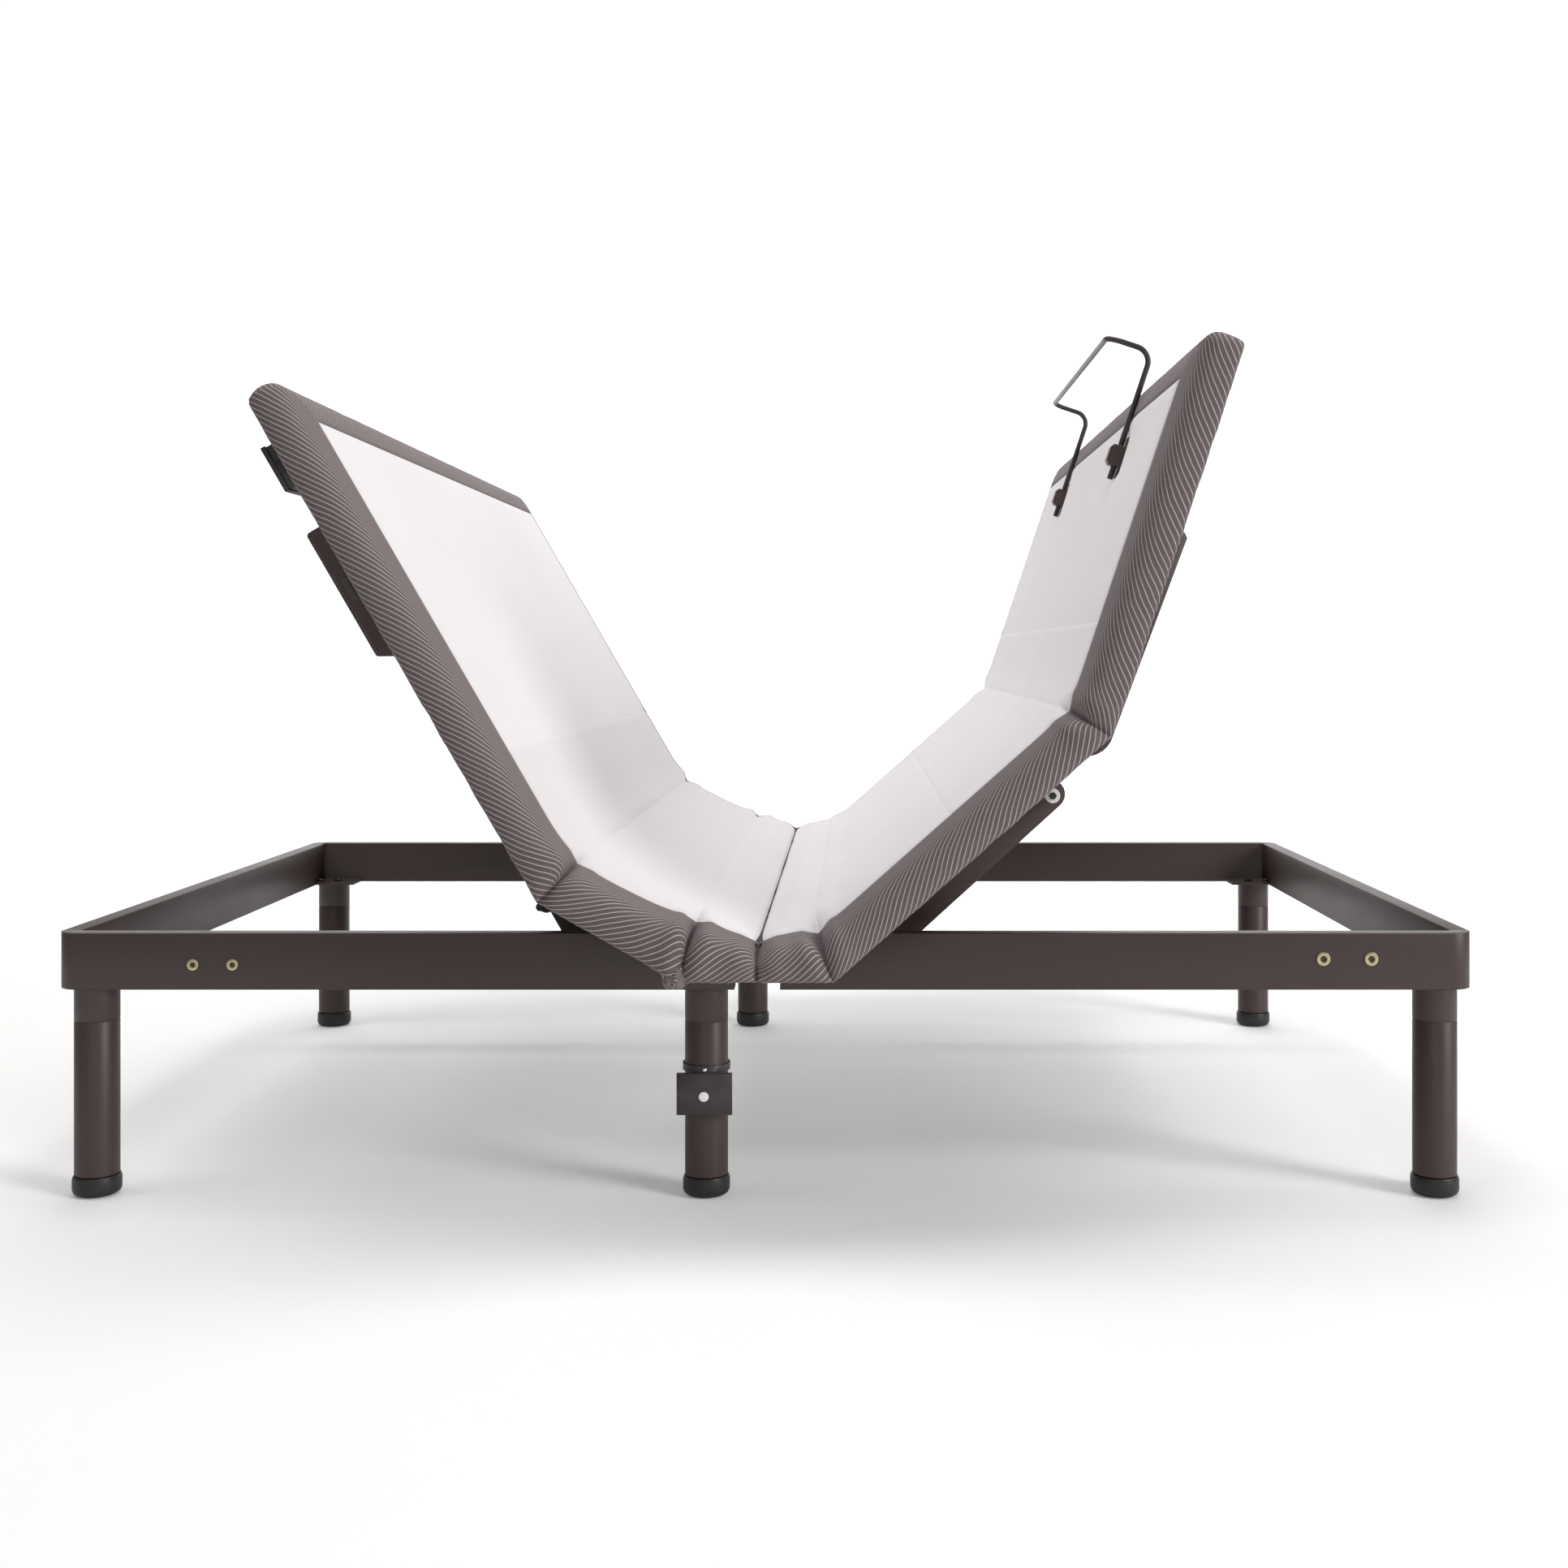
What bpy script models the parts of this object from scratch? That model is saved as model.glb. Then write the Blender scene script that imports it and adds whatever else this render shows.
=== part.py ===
"""Adjustable bed base, drawn in its raised pose.

Metres, Z up, X along the bed (head at -X), Y across it.  The deck is a row of
upholstered panels hinged to each other over an inset steel frame on six legs.
"""
import math

import bmesh
import bpy
from mathutils import Vector

# Frame
FRAME_LENGTH = 1.870
FRAME_WIDTH = 1.120
RAIL_DEPTH = 0.025
RAIL_HEIGHT = 0.074
RAIL_WALL = 0.0025
RAIL_BOTTOM = 0.276
RAIL_TOP = RAIL_BOTTOM + RAIL_HEIGHT
CORNER_RADIUS = 0.030
SPLIT_HEAD = -0.040
SPLIT_FOOT = 0.020
GAP = 0.0004
BEAM_HALF_LENGTH = 0.085
BEAM_BOTTOM = 0.314

# Legs
LEG_RADIUS = 0.0286
LEG_SEAM_HEIGHT = 0.232
CAP_RADIUS = 0.0312
CAP_HEIGHT = 0.026
LEG_X = (-0.890, -0.079, 0.890)
LEG_Y = 0.530

# Deck panels
DECK_HALF_WIDTH = 0.760
PAD_THICKNESS = 0.047
PAD_TOP_LAYER = 0.0065
PAD_EDGE_RADIUS = 0.010
APRON_WIDTH = 0.045
END_APRON_WIDTH = 0.030
BOARD_LOW = 0.029
BOARD_HIGH = 0.040
CREASE_GAP = 0.0012

# Hinges along the deck, in flat order from the head
HINGE_HEIGHT = 0.322
LUMBAR_HINGE_X = -0.094
THIGH_HINGE_X = 0.093
LUMBAR_LENGTH = 0.195
BACK_LENGTH = 0.705
THIGH_LENGTH = 0.446
CALF_LENGTH = 0.505
LUMBAR_ANGLE = math.radians(29.5)
BACK_ANGLE = math.radians(59.9)
THIGH_ANGLE = math.radians(41.5)
CALF_ANGLE = math.radians(71.5)

# Steel under the deck
BAR_OUTER = (0.5030, 0.5280)
BAR_INNER = (0.4740, 0.4990)
ARM_SPAN = (0.4450, 0.4700)
BAR_WALL = 0.0025
HEAD_SHAFT = (-0.2310, 0.3000)
HEAD_ARM_LENGTH = 0.35352
HEAD_ARM_HALF = 0.0235
HEAD_ARM_PERP = -0.031
FOOT_ARM_LENGTH = 0.354
FOOT_ARM_HALF = 0.0205
FOOT_ARM_PERP = -0.041
ROLLER_RADIUS = 0.0098
SHAFT_RADIUS = 0.019
LINK_PIVOT = (0.1000, 0.3362)
LINK_LENGTH = 0.38926
LINK_BACKSET = 0.050

# Mattress retainer
RETAINER_HALF_WIDTH = 0.340

# Actuators
HEAD_DRIVE_Y = -0.090
FOOT_DRIVE_Y = 0.090
HEAD_CRANK = 0.065
FOOT_CRANK = 0.070
HEAD_ANCHOR = (0.100, 0.243)
FOOT_ANCHOR = (-0.100, 0.232)

COLOURS = {
    "frame_paint": ((0.060, 0.046, 0.043, 1.0), 0.35, 0.45),
    "dark_plastic": ((0.020, 0.018, 0.017, 1.0), 0.0, 0.50),
    "zinc": ((0.55, 0.47, 0.28, 1.0), 1.0, 0.35),
    "border_fabric": ((0.200, 0.165, 0.168, 1.0), 0.0, 0.90),
    "plywood": ((0.035, 0.032, 0.031, 1.0), 0.0, 0.85),
    "nylon": ((0.78, 0.77, 0.75, 1.0), 0.0, 0.45),
    "motor_plastic": ((0.030, 0.030, 0.032, 1.0), 0.0, 0.42),
    "rod_steel": ((0.60, 0.60, 0.61, 1.0), 1.0, 0.25),
    "pouch_fabric": ((0.045, 0.036, 0.032, 1.0), 0.0, 0.95),
    "lens": ((0.90, 0.90, 0.88, 1.0), 0.0, 0.25),
}


def clear_scene():
    for item in list(bpy.data.objects):
        bpy.data.objects.remove(item, do_unlink=True)


def make_material(name):
    colour, metallic, roughness = COLOURS[name]
    material = bpy.data.materials.get(name)
    if material is None:
        material = bpy.data.materials.new(name)
        material.use_nodes = True
        shader = material.node_tree.nodes["Principled BSDF"]
        shader.inputs["Base Color"].default_value = colour
        shader.inputs["Metallic"].default_value = metallic
        shader.inputs["Roughness"].default_value = roughness
    return material


def finish(name, shape, material, origin=(0.0, 0.0, 0.0)):
    """Turn a bmesh in world coordinates into an object whose origin is given."""
    bmesh.ops.recalc_face_normals(shape, faces=shape.faces[:])
    home = Vector(origin)
    for vertex in shape.verts:
        vertex.co -= home
    mesh = bpy.data.meshes.new(name)
    shape.to_mesh(mesh)
    shape.free()
    mesh.materials.append(make_material(material))
    item = bpy.data.objects.new(name, mesh)
    item.location = home
    bpy.context.scene.collection.objects.link(item)
    return item


def combine(item, cutter, operation):
    """Apply one exact boolean and drop the second shape."""
    modifier = item.modifiers.new("combine", "BOOLEAN")
    modifier.operation = operation
    modifier.solver = "EXACT"
    modifier.object = cutter
    bpy.context.view_layer.update()
    graph = bpy.context.evaluated_depsgraph_get()
    result = bpy.data.meshes.new_from_object(item.evaluated_get(graph))
    item.modifiers.clear()
    old = item.data
    item.data = result
    result.name = item.name
    while len(result.materials) > 1:
        result.materials.pop(index=len(result.materials) - 1)
    for face in result.polygons:
        face.material_index = 0
    bpy.data.meshes.remove(old)
    bpy.data.objects.remove(cutter, do_unlink=True)
    return item


def prism_shape(outline, low, high, axis="Y"):
    """A closed prism: outline in the two other axes, swept from low to high."""
    shape = bmesh.new()
    ends = []
    for level in (low, high):
        ring = []
        for first, second in outline:
            if axis == "Y":
                point = (first, level, second)
            elif axis == "Z":
                point = (first, second, level)
            else:
                point = (level, first, second)
            ring.append(shape.verts.new(point))
        ends.append(ring)
    count = len(outline)
    shape.faces.new(ends[0])
    shape.faces.new(list(reversed(ends[1])))
    for index in range(count):
        after = (index + 1) % count
        shape.faces.new((ends[0][index], ends[1][index], ends[1][after], ends[0][after]))
    return shape


def rectangle(x0, x1, z0, z1):
    return [(x0, z0), (x1, z0), (x1, z1), (x0, z1)]


def box_shape(x0, x1, y0, y1, z0, z1):
    return prism_shape(rectangle(x0, x1, z0, z1), y0, y1)


def arc(centre, radius, start, end, steps):
    points = []
    for index in range(steps + 1):
        angle = math.radians(start + (end - start) * index / steps)
        points.append((centre[0] + radius * math.cos(angle), centre[1] + radius * math.sin(angle)))
    return points


def circle(centre, radius, steps=24):
    return arc(centre, radius, 0.0, 360.0 * (steps - 1) / steps, steps - 1)


def lathe_shape(x, y, profile, steps=32):
    """Turn a closed (radius, height) profile that starts and ends on the axis."""
    shape = bmesh.new()
    rings = []
    for radius, height in profile:
        if radius <= 0.0:
            rings.append([shape.verts.new((x, y, height))])
            continue
        ring = []
        for index in range(steps):
            angle = 2.0 * math.pi * index / steps
            ring.append(shape.verts.new((x + radius * math.cos(angle), y + radius * math.sin(angle), height)))
        rings.append(ring)
    for lower, upper in zip(rings, rings[1:]):
        for index in range(steps):
            after = (index + 1) % steps
            corners = [lower[index % len(lower)], lower[after % len(lower)],
                       upper[after % len(upper)], upper[index % len(upper)]]
            unique = []
            for corner in corners:
                if corner not in unique:
                    unique.append(corner)
            shape.faces.new(unique)
    return shape


class Section:
    """One deck panel: hinge point, direction away from the seat, and its normal."""

    def __init__(self, hinge, angle, side):
        self.hinge = hinge
        self.along = (side * math.cos(angle), math.sin(angle))
        self.up = (-side * math.sin(angle), math.cos(angle))

    def point(self, along, up):
        return (self.hinge[0] + along * self.along[0] + up * self.up[0],
                self.hinge[1] + along * self.along[1] + up * self.up[1])

    def outline(self, pairs):
        return [self.point(along, up) for along, up in pairs]

    def origin(self):
        return (self.hinge[0], 0.0, self.hinge[1])


LUMBAR = Section((LUMBAR_HINGE_X, HINGE_HEIGHT), LUMBAR_ANGLE, -1.0)
BACK = Section(LUMBAR.point(LUMBAR_LENGTH, 0.0), BACK_ANGLE, -1.0)
THIGH = Section((THIGH_HINGE_X, HINGE_HEIGHT), THIGH_ANGLE, 1.0)
CALF = Section(THIGH.point(THIGH_LENGTH, 0.0), CALF_ANGLE, 1.0)
SEAT = Section((0.0, HINGE_HEIGHT), 0.0, 1.0)

SEAT_FOLD = 0.0
LUMBAR_FOLD = LUMBAR_ANGLE / 2.0
BACK_FOLD = (BACK_ANGLE - LUMBAR_ANGLE) / 2.0
THIGH_FOLD = THIGH_ANGLE / 2.0
CALF_FOLD = (CALF_ANGLE - THIGH_ANGLE) / 2.0


def pad(name, section, start, end, fold_start, fold_end, capped):
    """Padded panel cover: thin top layer, deep apron at both sides, mitred ends.

    A capped panel has an apron across its free end as well.
    """
    def station(base, fold, sign, up):
        return base + sign * (CREASE_GAP + up * math.tan(fold))

    r = PAD_EDGE_RADIUS
    half = DECK_HALF_WIDTH
    outline = []
    outline += [(y, z) for y, z in arc((half - r, r), r, -90.0, 0.0, 3)]
    outline += [(y, z) for y, z in arc((half - r, PAD_THICKNESS - r), r, 0.0, 90.0, 3)]
    outline += [(-y, z) for y, z in reversed(arc((half - r, PAD_THICKNESS - r), r, 0.0, 90.0, 3))]
    outline += [(-y, z) for y, z in reversed(arc((half - r, r), r, -90.0, 0.0, 3))]
    shape = bmesh.new()
    low = []
    high = []
    for y, z in outline:
        a0 = station(start, fold_start, 1.0, z)
        a1 = end if capped else station(end, fold_end, -1.0, z)
        x0, z0 = section.point(a0, z)
        x1, z1 = section.point(a1, z)
        low.append(shape.verts.new((x0, y, z0)))
        high.append(shape.verts.new((x1, y, z1)))
    shape.faces.new(low)
    cap = shape.faces.new(list(reversed(high)))
    for index in range(len(outline)):
        after = (index + 1) % len(outline)
        shape.faces.new((low[index], high[index], high[after], low[after]))
    if capped:
        bmesh.ops.bevel(shape, geom=list(cap.edges), offset=0.0095, segments=3, profile=0.5,
                        affect="EDGES", clamp_overlap=True)
    item = finish(name, shape, "border_fabric", section.origin())
    hollow_end = end - END_APRON_WIDTH if capped else end + 0.10
    hollow = section.outline(rectangle(start - 0.10, hollow_end, -0.05, PAD_THICKNESS - PAD_TOP_LAYER))
    cutter_shape = prism_shape(hollow, -(half - APRON_WIDTH), half - APRON_WIDTH)
    cutter = finish(name + "_cut", cutter_shape, "border_fabric")
    return combine(item, cutter, "DIFFERENCE")


def board(name, section, start, end, fold_start, fold_end, capped):
    half = DECK_HALF_WIDTH - APRON_WIDTH - GAP
    first = start + BOARD_HIGH * math.tan(fold_start) + 0.0015
    last = end - (END_APRON_WIDTH + GAP if capped else BOARD_HIGH * math.tan(fold_end) + 0.0015)
    outline = section.outline(rectangle(first, last, BOARD_LOW, BOARD_HIGH))
    shape = prism_shape(outline, -half, half)
    return finish(name, shape, "plywood", section.origin())


def hollow_bar(name, section, outline, core, span, origin=None):
    """Bar across a small Y span with an open-ended core along its length."""
    home = origin if origin else section.origin()
    item = finish(name, prism_shape(section.outline(outline), span[0], span[1]), "frame_paint", home)
    inner = prism_shape(section.outline(core), span[0] + BAR_WALL, span[1] - BAR_WALL)
    cutter = finish(name + "_cut", inner, "frame_paint")
    return combine(item, cutter, "DIFFERENCE")


def mirrored(span):
    return (-span[1], -span[0])


def sides():
    return (("near", -1), ("far", 1))


def build_frame():
    half_l = FRAME_LENGTH / 2.0
    half_w = FRAME_WIDTH / 2.0
    for end_name, side_x, split in (("head", -1, SPLIT_HEAD), ("foot", 1, SPLIT_FOOT)):
        for side_name, side_y in sides():
            name = "rail_" + end_name + "_" + side_name
            outer = arc((half_l - CORNER_RADIUS, half_w - CORNER_RADIUS), CORNER_RADIUS, 0.0, 90.0, 8)
            inner_r = CORNER_RADIUS - RAIL_DEPTH
            inner = arc((half_l - CORNER_RADIUS, half_w - CORNER_RADIUS), inner_r, 90.0, 0.0, 3)
            path = outer + [(split * side_x, half_w), (split * side_x, half_w - RAIL_DEPTH)] + inner
            outline = [(x * side_x, y * side_y) for x, y in path]
            rail = finish(name, prism_shape(outline, RAIL_BOTTOM, RAIL_TOP, "Z"), "frame_paint")
            far_end = side_x * (half_l - CORNER_RADIUS)
            x0 = min(far_end, split - side_x * 0.01)
            x1 = max(far_end, split - side_x * 0.01)
            y_in = half_w - RAIL_DEPTH + RAIL_WALL
            y_out = half_w - RAIL_WALL
            y0 = min(side_y * y_in, side_y * y_out)
            y1 = max(side_y * y_in, side_y * y_out)
            hollow = box_shape(x0, x1, y0, y1, RAIL_BOTTOM + RAIL_WALL, RAIL_TOP - RAIL_WALL)
            rail = combine(rail, finish(name + "_cut", hollow, "frame_paint"), "DIFFERENCE")
            plate_x = side_x * (half_l - RAIL_DEPTH - 0.0365)
            reach = 0.056
            y0 = min(side_y * (half_w - RAIL_DEPTH + 0.001), side_y * (half_w - RAIL_DEPTH - reach))
            y1 = max(side_y * (half_w - RAIL_DEPTH + 0.001), side_y * (half_w - RAIL_DEPTH - reach))
            tab = box_shape(plate_x - 0.035, plate_x + 0.035, y0, y1, RAIL_BOTTOM + 0.0005, RAIL_BOTTOM + 0.0055)
            rail = combine(rail, finish(name + "_tab", tab, "frame_paint"), "UNION")
            if end_name == "head":
                tab = box_shape(LEG_X[1] - 0.035, LEG_X[1] + 0.035, y0, y1,
                                RAIL_BOTTOM + 0.0005, RAIL_BOTTOM + 0.0055)
                rail = combine(rail, finish(name + "_tab", tab, "frame_paint"), "UNION")
        span = half_w - CORNER_RADIUS - GAP
        x0 = min(side_x * half_l, side_x * (half_l - RAIL_DEPTH))
        x1 = max(side_x * half_l, side_x * (half_l - RAIL_DEPTH))
        bar = finish("rail_" + end_name + "_end", box_shape(x0, x1, -span, span, RAIL_BOTTOM, RAIL_TOP),
                     "frame_paint")
        core = box_shape(x0 + RAIL_WALL, x1 - RAIL_WALL, -span - 0.01, span + 0.01,
                         RAIL_BOTTOM + RAIL_WALL, RAIL_TOP - RAIL_WALL)
        combine(bar, finish("end_cut", core, "frame_paint"), "DIFFERENCE")


def build_centre_beam():
    """Wide box beam that ties the two frame halves and carries both actuator anchors."""
    inside = FRAME_WIDTH / 2.0 - RAIL_DEPTH - GAP
    half = BEAM_HALF_LENGTH
    top = RAIL_TOP
    beam = finish("centre_beam", box_shape(-half, half, -inside + 0.004, inside - 0.004, BEAM_BOTTOM, top),
                  "frame_paint")
    core = box_shape(-half + 0.003, half - 0.003, -inside + 0.012, inside - 0.012, BEAM_BOTTOM + 0.003, top - 0.003)
    slot = box_shape(-half + 0.02, half - 0.02, -inside + 0.03, inside - 0.03, BEAM_BOTTOM - 0.01,
                     BEAM_BOTTOM + 0.004)
    core_item = combine(finish("core", core, "frame_paint"), finish("slot", slot, "frame_paint"), "UNION")
    beam = combine(beam, core_item, "DIFFERENCE")
    low = RAIL_BOTTOM + 0.0065
    for side_name, side_y in sides():
        y0 = min(side_y * inside, side_y * (inside - 0.005))
        y1 = max(side_y * inside, side_y * (inside - 0.005))
        flange = box_shape(-half, half, y0, y1, low, top)
        beam = combine(beam, finish("flange", flange, "frame_paint"), "UNION")
    for anchor, y_mid, side_x in ((HEAD_ANCHOR, HEAD_DRIVE_Y, 1), (FOOT_ANCHOR, FOOT_DRIVE_Y, -1)):
        for offset in (-0.0215, 0.0155):
            profile = [(side_x * (half - 0.023), BEAM_BOTTOM + 0.002), (side_x * (half - 0.0005), BEAM_BOTTOM + 0.002)]
            sweep = (20.0, -190.0) if side_x > 0 else (160.0, 370.0)
            profile += arc(anchor, 0.016, sweep[0], sweep[1], 8)
            cheek = prism_shape(profile, y_mid + offset, y_mid + offset + 0.006)
            beam = combine(beam, finish("cheek", cheek, "frame_paint"), "UNION")
    for offset in (-0.0125, 0.0075):
        profile = [(half - 0.020, top - 0.030), (half - 0.020, top - 0.0005), (half - 0.004, top - 0.0005)]
        profile += arc(LINK_PIVOT, 0.0115, 90.0, -90.0, 6)
        cheek = prism_shape(profile, offset, offset + 0.005)
        beam = combine(beam, finish("cheek", cheek, "frame_paint"), "UNION")
    return beam


def build_legs():
    names = ("head", "mid", "foot")
    for place, x in zip(names, LEG_X):
        for side_name, side_y in sides():
            y = side_y * LEG_Y
            r = LEG_RADIUS
            s = LEG_SEAM_HEIGHT
            top = RAIL_BOTTOM - GAP
            profile = [(0.0, CAP_HEIGHT + GAP), (r - 0.0015, CAP_HEIGHT + GAP), (r, CAP_HEIGHT + 0.002),
                       (r, s - 0.0012), (r - 0.0008, s - 0.0004), (r - 0.0008, s + 0.0004), (r, s + 0.0012),
                       (r, top), (r - 0.0025, top), (r - 0.0025, CAP_HEIGHT + 0.012), (0.0, CAP_HEIGHT + 0.012)]
            finish("leg_" + place + "_" + side_name, lathe_shape(x, y, profile), "frame_paint")
            c = CAP_RADIUS
            profile = [(0.0, 0.0), (c - 0.009, 0.0), (c - 0.003, 0.0020), (c, 0.0065), (c, CAP_HEIGHT - 0.003),
                       (c - 0.001, CAP_HEIGHT), (0.0, CAP_HEIGHT)]
            finish("foot_cap_" + place + "_" + side_name, lathe_shape(x, y, profile), "dark_plastic")


def build_seat():
    half = DECK_HALF_WIDTH - APRON_WIDTH - GAP
    shrink = BOARD_HIGH * math.tan(LUMBAR_FOLD) + 0.0015
    x0 = LUMBAR_HINGE_X + shrink
    outline = rectangle(x0, -0.0015, HINGE_HEIGHT + BOARD_LOW, HINGE_HEIGHT + BOARD_HIGH)
    finish("seat_board_head", prism_shape(outline, -half, half), "plywood")
    x1 = THIGH_HINGE_X - BOARD_HIGH * math.tan(THIGH_FOLD) - 0.0015
    outline = rectangle(0.0015, x1, HINGE_HEIGHT + BOARD_LOW, HINGE_HEIGHT + BOARD_HIGH)
    finish("seat_board_foot", prism_shape(outline, -half, half), "plywood")
    head_side = Section((0.0, HINGE_HEIGHT), 0.0, -1.0)
    pad("seat_pad_head", head_side, 0.0, -LUMBAR_HINGE_X, 0.0, LUMBAR_FOLD, False)
    pad("seat_pad_foot", SEAT, 0.0, THIGH_HINGE_X, 0.0, THIGH_FOLD, False)


def build_lumbar_and_back():
    pad("lumbar_pad", LUMBAR, 0.0, LUMBAR_LENGTH, LUMBAR_FOLD, BACK_FOLD, False)
    board("lumbar_board", LUMBAR, 0.0, LUMBAR_LENGTH, LUMBAR_FOLD, BACK_FOLD, False)
    pad("back_pad", BACK, 0.0, BACK_LENGTH, BACK_FOLD, 0.0, True)
    board("back_board", BACK, 0.0, BACK_LENGTH, BACK_FOLD, 0.0, True)
    low = HEAD_ARM_PERP + ROLLER_RADIUS + GAP
    for side_name, side_y in sides():
        span = BAR_INNER if side_y > 0 else mirrored(BAR_INNER)
        outline = rectangle(0.045, 0.600, low, BOARD_LOW - GAP)
        core = rectangle(0.040, 0.605, low + BAR_WALL, BOARD_LOW - GAP - BAR_WALL)
        hollow_bar("back_bar_" + side_name, BACK, outline, core, span)
    outline = BACK.outline([(0.5935, -0.006), (0.5935, -0.023), (0.5965, -0.026), (0.6500, -0.026),
                            (0.6530, -0.023), (0.6530, -0.006), (0.6360, -0.0045), (0.6360, BOARD_LOW - GAP),
                            (0.6035, BOARD_LOW - GAP), (0.6035, -0.0045)])
    finish("massage_motor", prism_shape(outline, -0.700, -0.590), "motor_plastic", BACK.origin())
    outline = BACK.outline([(0.3580, -0.0280), (0.3610, -0.0310), (0.5310, -0.0310), (0.5340, -0.0280),
                            (0.5340, BOARD_LOW - GAP), (0.3580, BOARD_LOW - GAP)])
    finish("control_pouch", prism_shape(outline, -0.705, -0.575), "pouch_fabric", BACK.origin())


def build_thigh_and_calf():
    pad("thigh_pad", THIGH, 0.0, THIGH_LENGTH, THIGH_FOLD, CALF_FOLD, False)
    board("thigh_board", THIGH, 0.0, THIGH_LENGTH, THIGH_FOLD, CALF_FOLD, False)
    pad("calf_pad", CALF, 0.0, CALF_LENGTH, CALF_FOLD, 0.0, True)
    board("calf_board", CALF, 0.0, CALF_LENGTH, CALF_FOLD, 0.0, True)
    low = FOOT_ARM_PERP + ROLLER_RADIUS + GAP
    for side_name, side_y in sides():
        span = BAR_INNER if side_y > 0 else mirrored(BAR_INNER)
        outline = [(0.062, low), (THIGH_LENGTH - 0.020, low), (THIGH_LENGTH - 0.004, low + 0.012),
                   (THIGH_LENGTH + 0.004, low + 0.030), (THIGH_LENGTH + 0.002, 0.018),
                   (THIGH_LENGTH - 0.010, BOARD_LOW - GAP), (0.062, BOARD_LOW - GAP)]
        core = rectangle(0.050, THIGH_LENGTH - 0.040, low + BAR_WALL, BOARD_LOW - GAP - BAR_WALL)
        hollow_bar("thigh_bar_" + side_name, THIGH, outline, core, span)
        span = BAR_OUTER if side_y > 0 else mirrored(BAR_OUTER)
        top = BOARD_LOW - GAP
        lug = arc((0.0, 0.0), 0.037, 140.0, 262.0, 9)
        outline = [(0.284, -0.047), (0.290, -0.041), (0.290, top), (0.014, top), (-0.014, 0.0255)] + lug
        core = rectangle(0.045, 0.300, -0.034, top - BAR_WALL)
        hollow_bar("calf_bar_" + side_name, CALF, outline, core, span)
    cross = [(0.060, 0.004), (0.095, 0.004), (0.095, BOARD_LOW - GAP), (0.060, BOARD_LOW - GAP)]
    inside = BAR_OUTER[0] - GAP
    item = finish("calf_cross", prism_shape(CALF.outline(cross), -inside, inside), "frame_paint", CALF.origin())
    core = rectangle(0.0625, 0.0925, 0.0065, BOARD_LOW - GAP - BAR_WALL)
    cutter = finish("cross_cut", prism_shape(CALF.outline(core), -0.6, 0.6), "frame_paint")
    item = combine(item, cutter, "DIFFERENCE")
    for offset in (-0.0125, 0.0075):
        lug = [(0.075, 0.0045), (0.075, 0.020), (-0.040, 0.012)]
        lug += arc((-LINK_BACKSET, 0.0), 0.012, 60.0, 290.0, 8)
        cheek = prism_shape(CALF.outline(lug), offset, offset + 0.005)
        item = combine(item, finish("cheek", cheek, "frame_paint"), "UNION")


def build_retainer():
    """Wire loop at the foot end that stops the mattress sliding."""
    wire = 0.0042
    lift = PAD_THICKNESS + 0.0095
    half = RETAINER_HALF_WIDTH
    bend = 0.022
    corner = CALF_LENGTH + 0.040
    rise = 0.124
    path = [(0.352, -half, lift)]
    for step in range(7):
        angle = math.radians(90.0 * step / 6.0)
        path.append((corner - bend + bend * math.sin(angle), -half, lift + bend - bend * math.cos(angle)))
    for step in range(7):
        angle = math.radians(90.0 * step / 6.0)
        path.append((corner, -half + bend - bend * math.cos(angle), rise - bend + bend * math.sin(angle)))
    path += [(a, -y, u) for a, y, u in reversed(path)]
    points = []
    for along, y, up in path:
        x, z = CALF.point(along, up)
        points.append(Vector((x, y, z)))
    shape = bmesh.new()
    sides_count = 10
    rings = []
    normal = Vector((CALF.up[0], 0.0, CALF.up[1]))
    for index, point in enumerate(points):
        before = points[max(index - 1, 0)]
        after = points[min(index + 1, len(points) - 1)]
        tangent = (after - before).normalized()
        if index > 0:
            previous = (points[index] - points[index - 1]).normalized()
            normal = previous.rotation_difference(tangent) @ normal if index == 1 else normal
        normal = (normal - tangent * normal.dot(tangent)).normalized()
        side = tangent.cross(normal)
        ring = []
        for turn in range(sides_count):
            angle = 2.0 * math.pi * turn / sides_count
            ring.append(shape.verts.new(point + wire * (math.cos(angle) * normal + math.sin(angle) * side)))
        rings.append(ring)
    for lower, upper in zip(rings, rings[1:]):
        for turn in range(sides_count):
            after = (turn + 1) % sides_count
            shape.faces.new((lower[turn], lower[after], upper[after], upper[turn]))
    shape.faces.new(rings[0])
    shape.faces.new(list(reversed(rings[-1])))
    finish("retainer_bar", shape, "frame_paint", CALF.origin())
    for side_name, side_y in sides():
        top = PAD_THICKNESS + 0.0004
        plate = [(0.356, top), (0.416, top), (0.416, top + 0.0042), (0.356, top + 0.0042)]
        item = finish("retainer_foot_" + side_name,
                      prism_shape(CALF.outline(plate), side_y * half - 0.015, side_y * half + 0.015),
                      "frame_paint", CALF.origin())
        knob = [(0.371, top + 0.003), (0.401, top + 0.003), (0.401, top + 0.019), (0.396, top + 0.023),
                (0.376, top + 0.023), (0.371, top + 0.019)]
        item = combine(item, finish("knob", prism_shape(CALF.outline(knob), side_y * half - 0.011,
                                                        side_y * half + 0.011), "frame_paint"), "UNION")
        groove = [CALF.point(a, u) for a, u in rectangle(0.340, 0.430, lift - wire - 0.0005, lift + wire + 0.0005)]
        combine(item, finish("groove", prism_shape(groove, side_y * half - wire - 0.0005,
                                                   side_y * half + wire + 0.0005), "frame_paint"), "DIFFERENCE")


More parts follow.
